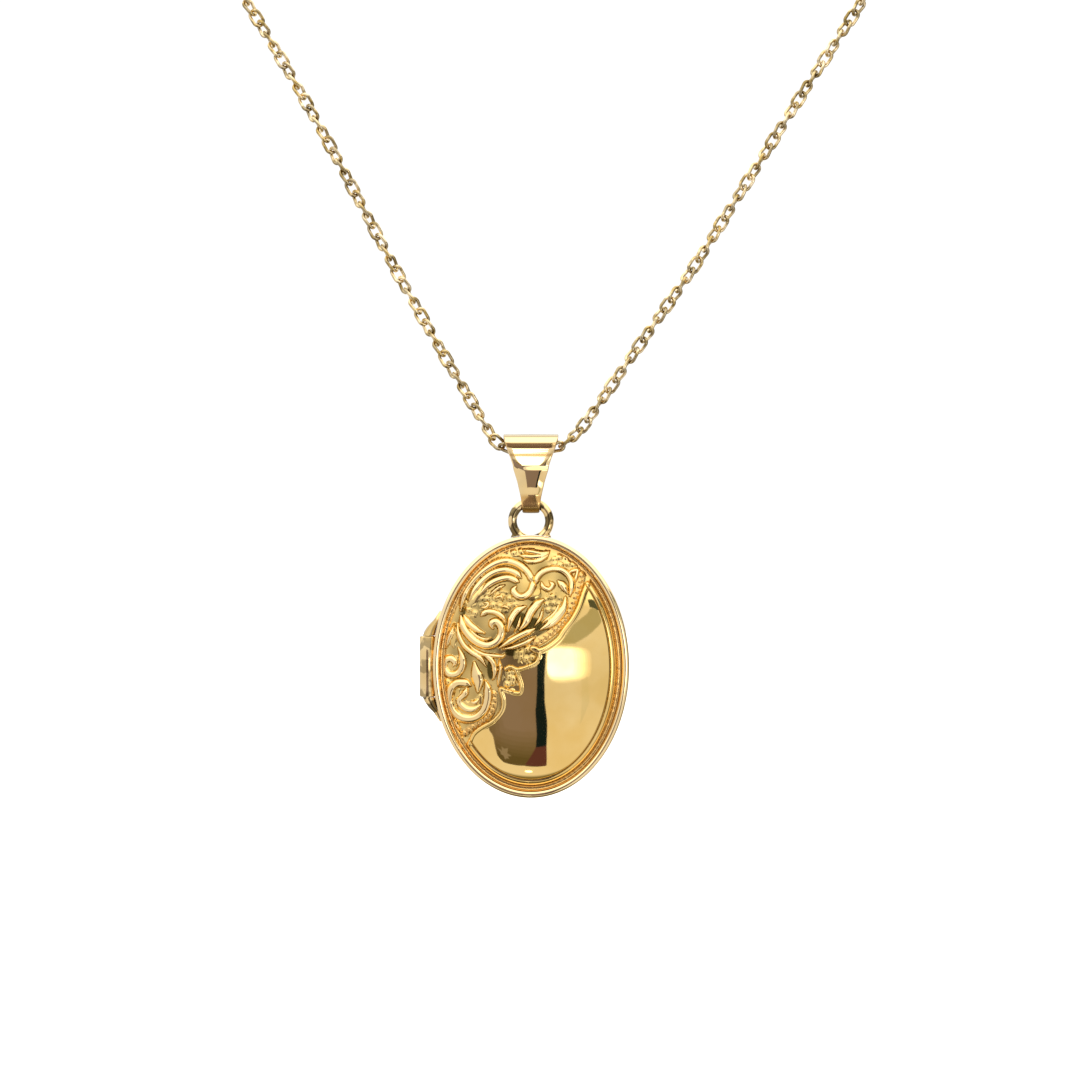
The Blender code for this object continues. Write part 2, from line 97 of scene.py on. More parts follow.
SHEET_INSET_MM = 1.52
PANE_LAYER_MM = (0.34, 0.50)
PAPER_LAYER_MM = (0.53, 0.63)

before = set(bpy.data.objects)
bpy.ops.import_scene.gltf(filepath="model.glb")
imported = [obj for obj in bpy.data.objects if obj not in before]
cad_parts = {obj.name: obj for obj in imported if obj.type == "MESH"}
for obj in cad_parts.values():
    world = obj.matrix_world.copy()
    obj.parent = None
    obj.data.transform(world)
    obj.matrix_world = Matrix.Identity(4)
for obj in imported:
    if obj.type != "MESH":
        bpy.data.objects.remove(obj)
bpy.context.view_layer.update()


# ---------------------------------------------------------------- helpers

def link_object(name, data):
    made = bpy.data.objects.new(name, data)
    bpy.context.scene.collection.objects.link(made)
    return made


def mesh_object(name, points, faces, material=None, sharp_degrees=40.0):
    """A smooth-shaded mesh object from points in millimetres and faces."""
    mesh = bpy.data.meshes.new(name)
    mesh.from_pydata([tuple(c * MM for c in p) for p in points], [], faces)
    bm = bmesh.new()
    bm.from_mesh(mesh)
    bmesh.ops.recalc_face_normals(bm, faces=bm.faces)
    bm.to_mesh(mesh)
    bm.free()
    mesh.shade_smooth()
    mesh.set_sharp_from_angle(angle=math.radians(sharp_degrees))
    if material:
        mesh.materials.append(material)
    return link_object(name, mesh)


def grid_faces(rows, columns, wrap_rows=False, wrap_columns=True):
    """Quads of a grid whose point index is row * columns + column."""
    faces = []
    for i in range(rows if wrap_rows else rows - 1):
        this_row = i * columns
        next_row = (i + 1) % rows * columns
        for j in range(columns if wrap_columns else columns - 1):
            beside = (j + 1) % columns
            faces.append((this_row + j, this_row + beside, next_row + beside, next_row + j))
    return faces


def capped_faces(rows, columns):
    """Quads of a grid that closes round its columns, with its first and last rows filled in."""
    last = (rows - 1) * columns
    return grid_faces(rows, columns) + [tuple(range(columns)), tuple(range(last, last + columns))]


def smooth_line(points, step):
    """Points a step apart on a Catmull-Rom curve through the given points, any dimension."""
    route = np.array(points, float)
    route = np.vstack([2 * route[0] - route[1], route, 2 * route[-1] - route[-2]])
    dense = []
    for p0, p1, p2, p3 in zip(route, route[1:], route[2:], route[3:]):
        for t in np.linspace(0, 1, 24, endpoint=False):
            dense.append(0.5 * (2 * p1 + (p2 - p0) * t + (2 * p0 - 5 * p1 + 4 * p2 - p3) * t * t
                                + (3 * p1 - p0 - 3 * p2 + p3) * t ** 3))
    dense.append(route[-2])
    dense = np.array(dense)
    gaps = np.linalg.norm(np.diff(dense, axis=0), axis=1)
    walked = np.concatenate([[0], np.cumsum(gaps)])
    count = max(2, int(round(walked[-1] / step)) + 1)
    marks = np.linspace(0, walked[-1], count)
    return np.stack([np.interp(marks, walked, dense[:, k]) for k in range(dense.shape[1])], axis=1)


def sweep(path, section, closed=False, up=None):
    """Points and faces of a section swept along a path; section(i, share) gives (side, rise) pairs in mm."""
    path = [Vector(p) for p in path]
    count = len(path)
    points = []
    for i, place in enumerate(path):
        if closed:
            along = (path[(i + 1) % count] - path[i - 1]).normalized()
        else:
            along = (path[min(i + 1, count - 1)] - path[max(i - 1, 0)]).normalized()
        side = Vector(up) if up else Vector((0, 1, 0))
        rise = along.cross(side).normalized()
        side = rise.cross(along).normalized()
        ring = section(i, i / (count - 1))
        size = len(ring)
        for a, b in ring:
            points.append(place + side * a + rise * b)
    return points, grid_faces(count, size, wrap_rows=True) if closed else capped_faces(count, size)


def circle(radius, sides):
    return [(radius * math.cos(2 * math.pi * k / sides), radius * math.sin(2 * math.pi * k / sides))
            for k in range(sides)]


def apply_modifier(obj, kind, **settings):
    modifier = obj.modifiers.new(kind.lower(), kind)
    for name, value in settings.items():
        setattr(modifier, name, value)
    bpy.context.view_layer.update()
    evaluated = obj.evaluated_get(bpy.context.evaluated_depsgraph_get())
    mesh = bpy.data.meshes.new_from_object(evaluated)
    obj.modifiers.clear()
    obj.data = mesh


def boolean(obj, other, operation):
    apply_modifier(obj, "BOOLEAN", operation=operation, solver="EXACT", object=other)
    bpy.data.objects.remove(other)


def melt(obj, voxel_mm, smooth_steps):
    """Rebuilds a joined shape as one skin with soldered, softened corners."""
    apply_modifier(obj, "REMESH", mode="VOXEL", voxel_size=voxel_mm * MM, use_smooth_shade=True)
    apply_modifier(obj, "SMOOTH", factor=0.5, iterations=smooth_steps)
    obj.data.shade_smooth()


def dress(piece, material, sharp_degrees=40.0):
    """Leaves a piece with one material and smooth shading between its sharp edges."""
    piece.data.materials.clear()
    piece.data.materials.append(material)
    piece.data.shade_smooth()
    piece.data.set_sharp_from_angle(angle=math.radians(sharp_degrees))


def store_amounts(obj, **amounts):
    """Keeps an amount at every point of a mesh for its material to read."""
    for attribute, values in amounts.items():
        layer = obj.data.attributes.new(attribute, "FLOAT", "POINT")
        layer.data.foreach_set("value", np.array(values, np.float32))


def place_piece(obj, body, slot, *nodes):
    """Rides on its body and stands for the CAD nodes given; its slot is not used."""
    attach(obj, body)
    if nodes:
        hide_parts(*nodes)
    return obj


# ---------------------------------------------------------------- materials

def node(tree, kind, **inputs):
    made = tree.nodes.new(kind)
    for name, value in inputs.items():
        made.inputs[name.replace("_", " ")].default_value = value
    return made


def grain(tree, stretch, detail, roughness=0.5, size=1.0):
    """Noise in the piece's own coordinates, stretched by three scales."""
    source = tree.nodes.new("ShaderNodeTexCoord")
    mapping = node(tree, "ShaderNodeMapping", Scale=stretch)
    tree.links.new(source.outputs["Object"], mapping.inputs["Vector"])
    made = node(tree, "ShaderNodeTexNoise", Scale=size, Detail=detail, Roughness=roughness)
    tree.links.new(mapping.outputs["Vector"], made.inputs["Vector"])
    return made.outputs["Fac"]


def spread(tree, source, low, high, start=0.0, end=1.0):
    """Maps start to end onto low to high, held at both ends."""
    made = node(tree, "ShaderNodeMapRange", From_Min=start, From_Max=end, To_Min=low, To_Max=high)
    tree.links.new(source, made.inputs["Value"])
    return made.outputs["Result"]


def product(tree, first, second):
    made = tree.nodes.new("ShaderNodeMath")
    made.operation = "MULTIPLY"
    tree.links.new(first, made.inputs[0])
    tree.links.new(second, made.inputs[1])
    return made.outputs["Value"]


def toned(tree, amount, colour, tone):
    """Mixes a fixed tone into a colour."""
    mix = tree.nodes.new("ShaderNodeMix")
    mix.data_type = "RGBA"
    mix.inputs["B"].default_value = (*tone, 1.0)
    tree.links.new(amount, mix.inputs["Factor"])
    tree.links.new(colour, mix.inputs["A"])
    return mix.outputs["Result"]


def new_material(name):
    made = bpy.data.materials.new(name)
    made.use_nodes = True
    return made, made.node_tree, made.node_tree.nodes["Principled BSDF"]


def ramp(tree, stops, source):
    made = tree.nodes.new("ShaderNodeValToRGB")
    elements = made.color_ramp.elements
    while len(elements) < len(stops):
        elements.new(0.5)
    for element, (place, colour) in zip(elements, stops):
        element.position = place
        element.color = (*colour, 1.0)
    tree.links.new(source, made.inputs["Fac"])
    return made.outputs["Color"]


GOLD_DEEP = (0.90, 0.60, 0.20)
GOLD_PALE = (0.95, 0.67, 0.27)
FITTING_DEEP = (0.90, 0.63, 0.28)
FITTING_PALE = (0.95, 0.73, 0.40)
CHAIN_DEEP = (0.52, 0.36, 0.12)
CHAIN_PALE = (1.0, 0.82, 0.54)
# Painted shade: a near-black tone mixed into the worked gold's hollows, under the bail's hook and along its top
GOLD_PAINTED_SHADE = (0.10, 0.07, 0.018)
# Orange tint of the milled bands and groove, also used on the bail to paint softer golden reflection bands
GOLD_MILLED_AND_SHEEN = (0.72, 0.42, 0.14)
# Painted highlight: a pale tone mixed into the rim's bead, the tops of the relief's strokes and the bail's flap
GOLD_PAINTED_HIGHLIGHT = (1.0, 0.76, 0.42)
DARK_PATCH_TONE = (0.07, 0.045, 0.012)


def tint_by(tree, attribute, colour, tone, rough, extra_rough):
    """Mixes a tone and some roughness into the gold where a mesh attribute is set."""
    amount = tree.nodes.new("ShaderNodeAttribute")
    amount.attribute_name = attribute
    more = tree.nodes.new("ShaderNodeMath")
    more.operation = "MULTIPLY_ADD"
    more.inputs[1].default_value = extra_rough
    tree.links.new(amount.outputs["Fac"], more.inputs[0])
    tree.links.new(rough, more.inputs[2])
    return toned(tree, amount.outputs["Fac"], colour, tone), more.outputs["Value"]


def connect(tree, shader, colour, rough, height, strength, distance):
    """Feeds a shader its colour, its roughness and a bump."""
    bump = node(tree, "ShaderNodeBump", Strength=strength, Distance=distance)
    tree.links.new(height, bump.inputs["Height"])
    tree.links.new(bump.outputs["Normal"], shader.inputs["Normal"])
    tree.links.new(colour, shader.inputs["Base Color"])
    tree.links.new(rough, shader.inputs["Roughness"])


def gold(name, deep, pale, rough_low, rough_high, scratch, worked=False, dark_patches=0.0, drift=0.35):
    """Polished yellow gold: slow colour drift, fine hairline scratches, random dark patches where asked, and on
    the worked face a painted highlight, a milled tint and painted shade.
    """
    made, tree, shader = new_material(name)
    shader.inputs["Metallic"].default_value = 1.0
    slow = grain(tree, (1000, 1000, 1000), 3.0, size=drift)
    colour = ramp(tree, ((0.35, deep), (0.65, pale)), slow)
    hair = grain(tree, (900, 2400, 14000), 5.0, 0.7)
    rough = spread(tree, hair, rough_low, rough_high)
    # Random dark patches
    if dark_patches:
        cloud = grain(tree, (1000, 1000, 1000), 2.0, size=1.1)
        colour = toned(tree, spread(tree, cloud, 0.0, dark_patches, 0.47, 0.53), colour, DARK_PATCH_TONE)
    if worked:
        # Painted highlight, the milled tint with its painted reflection bands, and painted shade, each where
        # its amount is set
        colour, rough = tint_by(tree, "bead", colour, GOLD_PAINTED_HIGHLIGHT, rough, 0.0)
        colour, rough = tint_by(tree, "milled", colour, GOLD_MILLED_AND_SHEEN, rough, 0.16)
        colour, rough = tint_by(tree, "recess", colour, GOLD_PAINTED_SHADE, rough, 0.18)
    connect(tree, shader, colour, rough, hair, scratch, 0.00001)
    return made


def clear_sheet(name):
    made, tree, shader = new_material(name)
    shader.inputs["Transmission Weight"].default_value = 1.0
    shader.inputs["IOR"].default_value = 1.49
    shader.inputs["Base Color"].default_value = (0.97, 0.98, 0.98, 1.0)
    rough = spread(tree, grain(tree, (300, 300, 900), 4.0), 0.02, 0.09)
    tree.links.new(rough, shader.inputs["Roughness"])
    return made


def card_paper(name):
    made, tree, shader = new_material(name)
    fibre = grain(tree, (9000, 9000, 3500), 8.0, 0.7)
    colour = ramp(tree, ((0.3, (0.58, 0.52, 0.42)), (0.7, (0.70, 0.65, 0.54))), fibre)
    connect(tree, shader, colour, spread(tree, fibre, 0.7, 0.9), fibre, 0.4, 0.00002)
    return made


def spring_wire(name):
    made, tree, shader = new_material(name)
    shader.inputs["Metallic"].default_value = 1.0
    drawn = grain(tree, (6000, 6000, 6000), 3.0)
    colour = ramp(tree, ((0.3, (0.45, 0.45, 0.46)), (0.7, (0.62, 0.62, 0.63))), drawn)
    tree.links.new(colour, shader.inputs["Base Color"])
    tree.links.new(spread(tree, drawn, 0.25, 0.4), shader.inputs["Roughness"])
    return made


GOLD_FACE = gold("gold_face", GOLD_DEEP, GOLD_PALE, 0.02, 0.06, 0.03, worked=True)
GOLD_FITTING = gold("gold_fitting", FITTING_DEEP, FITTING_PALE, 0.04, 0.10, 0.05)
GOLD_BAIL = gold("gold_bail", FITTING_DEEP, FITTING_PALE, 0.03, 0.06, 0.012, worked=True)
GOLD_RING = gold("gold_ring", FITTING_DEEP, FITTING_PALE, 0.04, 0.10, 0.05, dark_patches=0.85)
GOLD_HINGE = gold("gold_hinge", FITTING_DEEP, FITTING_PALE, 0.05, 0.12, 0.05, dark_patches=0.5)
GOLD_CHAIN = gold("gold_chain", CHAIN_DEEP, CHAIN_PALE, 0.05, 0.12, 0.05, dark_patches=0.5, drift=1.4)
GOLD_INNER = gold("gold_inner", GOLD_DEEP, GOLD_PALE, 0.18, 0.34, 0.12)
GLASS = clear_sheet("clear_sheet")
CARD = card_paper("card_paper")
SPRING = spring_wire("spring_wire")


# ---------------------------------------------------------------- studio

def emitter(name, colour, strength):
    made = bpy.data.materials.new(name)
    made.use_nodes = True
    tree = made.node_tree
    tree.nodes.clear()
    shine = node(tree, "ShaderNodeEmission", Color=(*colour, 1.0), Strength=strength)
    out = tree.nodes.new("ShaderNodeOutputMaterial")
    tree.links.new(shine.outputs["Emission"], out.inputs["Surface"])
    return made


def card(name, colour, strength, outline, depth=-147):
    """A studio card seen only in reflections, upright in front of the locket, its corners in XZ millimetres."""
    points = [(x, depth, z) for x, z in outline]
    made = mesh_object(name, points, [tuple(range(len(points)))], emitter(name, colour, strength))
    made.visible_camera = False
    made.visible_diffuse = False
    made.visible_shadow = False


def rounded_box(centre_x, centre_z, half_x, half_z, power=0.5):
    """Corners of a box with generously rounded corners."""
    corners = []
    for k in range(48):
        angle = 2 * math.pi * k / 48
        c, s = math.cos(angle), math.sin(angle)
        corners.append((centre_x + half_x * math.copysign(abs(c) ** power, c),
                        centre_z + half_z * math.copysign(abs(s) ** power, s)))
    return corners


# The room as reflections see it: tones from straight below to straight above
ROOM_TONES = ((0.0, (0.22, 0.19, 0.09)), (0.06, (0.24, 0.21, 0.10)), (0.10, (0.90, 0.88, 0.84)),
              (0.30, (0.88, 0.86, 0.82)), (0.42, (0.80, 0.79, 0.77)), (0.52, (0.86, 0.86, 0.85)),
              (0.66, (0.95, 0.95, 0.95)), (0.70, (1.65, 1.65, 1.55)), (1.0, (1.65, 1.65, 1.55)))
# How dark the room is from straight behind the locket, round the sides, to straight in front
SIDE_TONES = ((0.0, 0.0), (0.15, 0.0), (0.27, 0.6), (0.42, 1.0), (0.58, 1.0), (0.64, 0.0), (1.0, 0.0))
SIDE_COLOUR = (0.085, 0.066, 0.036)


def greys(*stops):
    return [(place, (tone, tone, tone)) for place, tone in stops]


def add_camera():
    camera_data = bpy.data.cameras.new("camera")
    camera = link_object("camera", camera_data)
    camera_data.lens = 100
    camera_data.sensor_width = 36
    view_mm = 82.44
    distance = view_mm / 36 * 100
    camera.location = (0.69 * MM, -distance * MM, -6.84 * MM)
    camera.rotation_euler = (math.radians(90), 0, 0)
    camera_data.clip_start = 0.005
    camera_data.clip_end = 5
    bpy.context.scene.camera = camera
    bpy.context.scene.view_settings.view_transform = "Standard"


def add_world():
    """Plain white to the camera; to reflections, a pale room with dark patchy sides."""
    world = bpy.data.worlds.new("studio")
    bpy.context.scene.world = world
    world.use_nodes = True
    tree = world.node_tree
    tree.nodes.clear()
    source = tree.nodes.new("ShaderNodeTexCoord")
    split = tree.nodes.new("ShaderNodeSeparateXYZ")
    tree.links.new(source.outputs["Generated"], split.inputs["Vector"])
    tones = ramp(tree, ROOM_TONES, spread(tree, split.outputs["Z"], 0.0, 1.0, -1.0, 1.0))
    ring = ramp(tree, greys(*SIDE_TONES), spread(tree, split.outputs["Y"], 0.0, 1.0, 1.0, -1.0))
    patches = node(tree, "ShaderNodeTexNoise", Scale=1.7, Detail=1.0)
    tree.links.new(source.outputs["Generated"], patches.inputs["Vector"])
    patchy = ramp(tree, greys((0.40, 0.35), (0.60, 1.0)), patches.outputs["Fac"])
    kept = product(tree, patchy, spread(tree, split.outputs["X"], 0.0, 1.0, -0.95, -0.55))
    sides = product(tree, ring, spread(tree, split.outputs["Z"], 1.0, 0.0, 0.5, 0.8))
    reflected = node(tree, "ShaderNodeBackground", Strength=1.0)
    tree.links.new(toned(tree, product(tree, sides, kept), tones, SIDE_COLOUR), reflected.inputs["Color"])
    seen = node(tree, "ShaderNodeBackground", Color=(1, 1, 1, 1), Strength=1.05)
    path = tree.nodes.new("ShaderNodeLightPath")
    mix = tree.nodes.new("ShaderNodeMixShader")
    tree.links.new(path.outputs["Is Camera Ray"], mix.inputs["Fac"])
    tree.links.new(reflected.outputs["Background"], mix.inputs[1])
    tree.links.new(seen.outputs["Background"], mix.inputs[2])
    out = tree.nodes.new("ShaderNodeOutputWorld")
    tree.links.new(mix.outputs["Shader"], out.inputs["Surface"])


def add_floor():
    material, _, shader = new_material("floor")
    shader.inputs["Base Color"].default_value = (0.95, 0.95, 0.94, 1)
    shader.inputs["Roughness"].default_value = 0.8
    shader.inputs["Emission Color"].default_value = (1, 1, 1, 1)
    shader.inputs["Emission Strength"].default_value = 0.35
    reach, level = 1500, -60
    corners = [(-reach, -reach, level), (reach, -reach, level), (reach, reach, level), (-reach, reach, level)]
    floor = mesh_object("floor", corners, [(0, 1, 2, 3)], material)
    floor.visible_glossy = False


LIGHTS = (("key", (-90, -150, 190), 0.5), ("fill", (180, -120, 60), 0.2))
LIGHT_SIZE_MM = 160


def add_lights():
    for name, place, energy in LIGHTS:
        light_data = bpy.data.lights.new(name, "AREA")
        light_data.energy = energy
        light_data.size = LIGHT_SIZE_MM * MM
        light = link_object(name, light_data)
        light.location = Vector(place) * MM
        light.rotation_euler = (Vector((0, 0, OVAL_Z_MM)) - Vector(place)).to_track_quat("-Z", "Y").to_euler()
        light.visible_camera = False
        light.visible_glossy = False


def add_cards():
    """What the polished dome mirrors: a dark shape, a black stripe, a bright patch and smaller streaks."""
    card("card_dark", (0.27, 0.225, 0.24), 1.0,
         [(-64, 15), (10, 15), (9, -42), (7, -62), (10, -87), (9, -106), (34, -157), (-18, -151), (-75, -161),
          (-86, -145), (-69, -89), (-60, -68)])
    for k in range(7):
        tone = 1 - 0.075 * (k + 1)
        top = -84 - 7 * k
        card(f"card_dusk_{k}", (0.27 * tone, 0.225 * tone, 0.24 * tone ** 2), 1.0,
             [(-77, top), (10, top), (34, -157), (-18, -151), (-75, -161), (-86, -145)], -146.95 + 0.03 * k)
    ragged = (17, 9, 20, 12, 15, 7, 19, 10, 13, 8, 18, 11, 14, 8)
    card("card_ragged", (0.30, 0.27, 0.26), 1.0,
         [(-60 + r * math.cos(2 * math.pi * k / 14), -128 + r * math.sin(2 * math.pi * k / 14))
          for k, r in enumerate(ragged)], -146.6)
    card("card_streak", (0.77, 0.77, 0.73), 1.0, [(94, -34), (112, -30), (130, -66), (108, -92)])
    card("card_black", (0.008, 0.018, 0.028), 1.0,
         [(10, 15), (24, 10), (23, -13), (21, -32), (22, -52), (28, -75), (30, -105), (9, -106), (10, -87),
          (7, -62), (9, -42)], -146.5)
    card("card_maroon", (0.12, 0.05, 0.06), 1.0, [(9, -106), (30, -105), (39, -157), (-15, -147)], -146.5)
    for k in range(8):
        share = k / 7
        half_x = 25 + 27 * (1 - share)
        card(f"card_bright_{k}", (1.0, 1.0, 1.0), 1.0 + 2.2 * share ** 1.5,
             rounded_box(25 + half_x, -18 - 2 * (1 - share), half_x, 12 + 5 * (1 - share)), -147 + 0.3 * k)
    card("card_grey", (0.10, 0.12, 0.10), 1.0, [(165, 62), (170, 80), (900, 420), (900, 330), (300, 105)])
    card("card_olive", (0.50, 0.51, 0.40), 1.0,
         [(48, -2), (80, 20), (134, 43), (165, 60), (400, 140), (400, 100), (190, 34), (116, 10), (80, 0)],
         -147.5)
    card("card_glint", (1.0, 1.0, 0.9), 4.0, rounded_box(-7, -181, 10, 8, 1.0))


add_camera()
add_world()
add_floor()
add_lights()
add_cards()


# ---------------------------------------------------------------- clasp, tab and jump rings

DEPTH = Vector((0, 1, 0))


def arc_path(centre, first, second, radius, start, end, count):
    """Points on an arc whose angles, in degrees, run from the first direction towards the second."""
    angles = np.radians(np.linspace(start, end, count))
    return [centre + radius * (math.cos(a) * first + math.sin(a) * second) for a in angles]


def bent_wire(name, path, wire, sides, closed=False, up=(0, 1, 0), material=None):
    points, faces = sweep(path, lambda i, share: circle(wire, sides), closed=closed, up=up)
    return mesh_object(name, points, faces, material)


def jump_ring(side, centre, along):
    path = arc_path(centre, along, DEPTH, JUMP_RING_MM, 0, 352.5, 48)
    made = bent_wire(f"end_ring_{side}", path, JUMP_WIRE_MM, 20, True, along.cross(DEPTH), GOLD_FITTING)
    return place_piece(made, "chain", "gold_chain", f"jump_ring_{side}")


def clasp(ring_centre, along):
    """Bolt ring: a slotted tube with its loop, the bolt with its lever, and a spring between bolt and tube."""
    across = DEPTH.cross(along)
    loop_centre = ring_centre + along * (JUMP_RING_MM + CLASP_LOOP_MM - 2 * JUMP_WIRE_MM - 0.05)
    centre = loop_centre + along * (CLASP_LOOP_MM + CLASP_MM + 0.45 * CLASP_TUBE_MM)

    def arc(radius, start, end, count):
        return arc_path(centre, along, across, radius, start, end, count)

    body = bent_wire("bolt_ring", arc(CLASP_MM, 62, 375, 110), CLASP_TUBE_MM, 32)
    loop_path = arc_path(loop_centre, along, across, CLASP_LOOP_MM, 0, 352.5, 48)
    boolean(body, bent_wire("loop", loop_path, JUMP_WIRE_MM, 20, True), "UNION")
    boolean(body, bent_wire("bore", arc(CLASP_MM, 57, 380, 110), CLASP_BORE_MM, 24), "DIFFERENCE")
    slot_path = arc(CLASP_MM + CLASP_TUBE_MM - 0.10, 86, 138, 30)
    boolean(body, bent_wire("slot", slot_path, CLASP_SLOT_MM, 20), "DIFFERENCE")
    dress(body, GOLD_FITTING)
    bolt = bent_wire("bolt", arc(CLASP_MM, 4, 118, 48), BOLT_MM, 24)
    root, tip = (arc(CLASP_MM + reach, 92, 93, 2)[0] for reach in (0.10, 1.25))
    boolean(bolt, bent_wire("lever", [root, tip], LEVER_MM, 20), "UNION")
    knob_steps = [-0.98, -0.9, -0.75, -0.5, -0.25, 0.0, 0.25, 0.5, 0.75, 0.9, 0.98]
    out = (tip - root).normalized()
    knob_points, knob_faces = sweep([tip + out * KNOB_MM * k for k in knob_steps],
                                    lambda i, share: circle(KNOB_MM * math.sqrt(1 - knob_steps[i] ** 2), 24))
    boolean(bolt, mesh_object("knob", knob_points, knob_faces), "UNION")
    dress(bolt, GOLD_FITTING)
    coil = []
    steps = SPRING_TURNS * 24
    for i in range(steps + 1):
        on_arc = arc(CLASP_MM, 124 + 72 * i / steps, 197, 2)[0]
        radial = (on_arc - centre).normalized()
        turn = 2 * math.pi * i / 24
        coil.append(on_arc + SPRING_COIL_MM * (math.cos(turn) * radial + math.sin(turn) * DEPTH))
    spring = bent_wire("coil_spring", coil, SPRING_WIRE_MM, 8, material=SPRING)
    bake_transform(spring)
    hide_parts("clasp_spring")
    place_piece(bolt, "clasp_bolt", "gold_chain", "clasp_bolt")
    return place_piece(body, "chain", "gold_chain", "clasp_body"), spring


def tag(ring_centre, along):
    """A flat tab with rounded ends, eased edges and an eye at each end."""
    across = DEPTH.cross(along)
    centre = ring_centre + along * (JUMP_RING_MM - JUMP_WIRE_MM + TAG_EYE_MM - 0.05 + TAG_EYE_OFFSET_MM)
    half = TAG_HALF_THICK_MM
    levels = ((-half, 0.07), (-half + 0.015, 0.03), (-half + 0.06, 0.0),
              (half - 0.06, 0.0), (half - 0.015, 0.03), (half, 0.07))
    rims = ((-half - 0.08, 0.12), (-half, 0.05), (-half + 0.05, 0.0),
            (half - 0.05, 0.0), (half, 0.05), (half + 0.08, 0.12))
    points = []
    for level, inset in levels:
        for end in (1, -1):
            for k in range(33):
                angle = math.radians(-90 + 180 * k / 32)
                radius = TAG_HALF_WIDTH_MM - inset
                length = TAG_HALF_LENGTH_MM - TAG_HALF_WIDTH_MM + radius * math.cos(angle)
                width = radius * math.sin(angle)
                points.append(centre + end * (length * along + width * across) + level * DEPTH)
    made = mesh_object("tab", points, capped_faces(len(levels), len(points) // len(levels)))
    for end in (1, -1):
        eye = centre + end * TAG_EYE_OFFSET_MM * along
        eye_points, eye_faces = sweep([eye + level * DEPTH for level, _ in rims],
                                      lambda i, share: circle(TAG_EYE_MM + rims[i][1], 48), up=along)
        boolean(made, mesh_object("eye", eye_points, eye_faces), "DIFFERENCE")
    dress(made, GOLD_FITTING, 30)
    return place_piece(made, "chain", "gold_chain", "clasp_tag")


def chain_fittings(side, route):
    """The jump ring at a strand's end and what it carries."""
    (x1, z1), (x2, z2) = route[-2:]
    along = Vector((x2 - x1, 0, z2 - z1)).normalized()
    centre = Vector((x2, 0, z2)) + along * (JUMP_RING_MM + JUMP_WIRE_MM + 0.08)
    ring = jump_ring(side, centre, along)
    if side == "left":
        return [ring, *clasp(centre, along)]
    return [ring, tag(centre, along)]


# ---------------------------------------------------------------- chain

def link_loop():
    """Middle line of one flat link in its own plane: two straights joined by round ends."""
    half_straight = (LINK_LENGTH_MM - LINK_WIDTH_MM) / 2
    radius = LINK_WIDTH_MM / 2 - LINK_WIRE_MM
    loop = []
    for end in (1, -1):
        for k in range(13):
            angle = math.radians(-90 + 15 * k)
            loop.append((end * (half_straight + radius * math.cos(angle)), end * radius * math.sin(angle)))
    return loop


def chain_pieces():
    """Both strands as real links, each turned an eighth of a turn from the last, joined inside the eye."""
    route = [(x, z) for x, z in reversed(LEFT_ROUTE)] + [(x, z) for x, z in RIGHT_ROUTE]
    line = smooth_line(route, 0.05)
    gaps = np.linalg.norm(np.diff(line, axis=0), axis=1)
    walked = np.concatenate([[0], np.cumsum(gaps)])
    spans = 4 * round(walked[-1] / LINK_PITCH_MM / 4)
    loop = link_loop()
    wire = circle(LINK_WIRE_MM, 10)
    groups = {"left": ([], []), "right": ([], [])}
    for i in range(spans + 1):
        at = walked[-1] * i / spans
        here = np.array([np.interp(at, walked, line[:, k]) for k in range(2)])
        ahead = np.array([np.interp(min(at + 0.4, walked[-1]), walked, line[:, k]) for k in range(2)])
        behind = np.array([np.interp(max(at - 0.4, 0), walked, line[:, k]) for k in range(2)])
        along = Vector((ahead[0] - behind[0], 0, ahead[1] - behind[1])).normalized()
        across = DEPTH.cross(along)
        turn = math.pi / 4 * i
        flat = across * math.cos(turn) + DEPTH * math.sin(turn)
        centre = Vector((here[0], 0, here[1]))
        path = []
        for a, b in loop:
            twist = turn + LINK_TWIST * a / (LINK_LENGTH_MM / 2)
            path.append(centre + along * a + (across * math.cos(twist) + DEPTH * math.sin(twist)) * b)
        points, faces = sweep(path, lambda k, share: wire, closed=True, up=along.cross(flat))
        side = "left" if here[0] < 0 else "right"
        stored_points, stored_faces = groups[side]
        first = len(stored_points)
        stored_points.extend(points)
        stored_faces.extend([tuple(first + n for n in face) for face in faces])
    for side, route_points in (("left", LEFT_ROUTE), ("right", RIGHT_ROUTE)):
        points, faces = groups[side]
        strand = mesh_object(f"chain_links_{side}", points, faces, GOLD_CHAIN, 80)
        place_piece(strand, "chain", "gold_chain", f"chain_strand_{side}")
        path = smooth_line(route_points, 0.3)
        chain_fittings(side, route_points)


chain_pieces()


# ---------------------------------------------------------------- covers

def rim_points():
    """Inset and height in millimetres, from the mating face round the bead and into the milled groove."""
    points = [(0.03, PARTING_HALF_MM), (0.0, 0.05), (0.0, 0.30)]
    for k in range(10):
        angle = math.pi * k / 10
        points.append((0.28 * (1 - math.cos(angle)), 0.62 + 0.28 * math.sin(angle)))
    points += [(0.58, 0.60), (0.65, 0.55), (0.73, 0.54), (0.81, 0.55), (0.87, 0.58)]
    return points


def plain_band(inset):
    """Height of the plain band between the groove and the dome's foot line."""
    share = np.clip((inset - FIELD_INSET_MM) / (1.38 - FIELD_INSET_MM), 0, 1)
    height = 0.62 + 0.46 * (share * (2 - share))
    line = np.exp(-((inset - 1.43) / 0.035) ** 2)
    return height - 0.07 * line


def plain_dome(share):
    return DOME_FOOT_MM + (DOME_TOP_MM - DOME_FOOT_MM) * np.clip(1 - share * share, 0, 1) ** 0.8


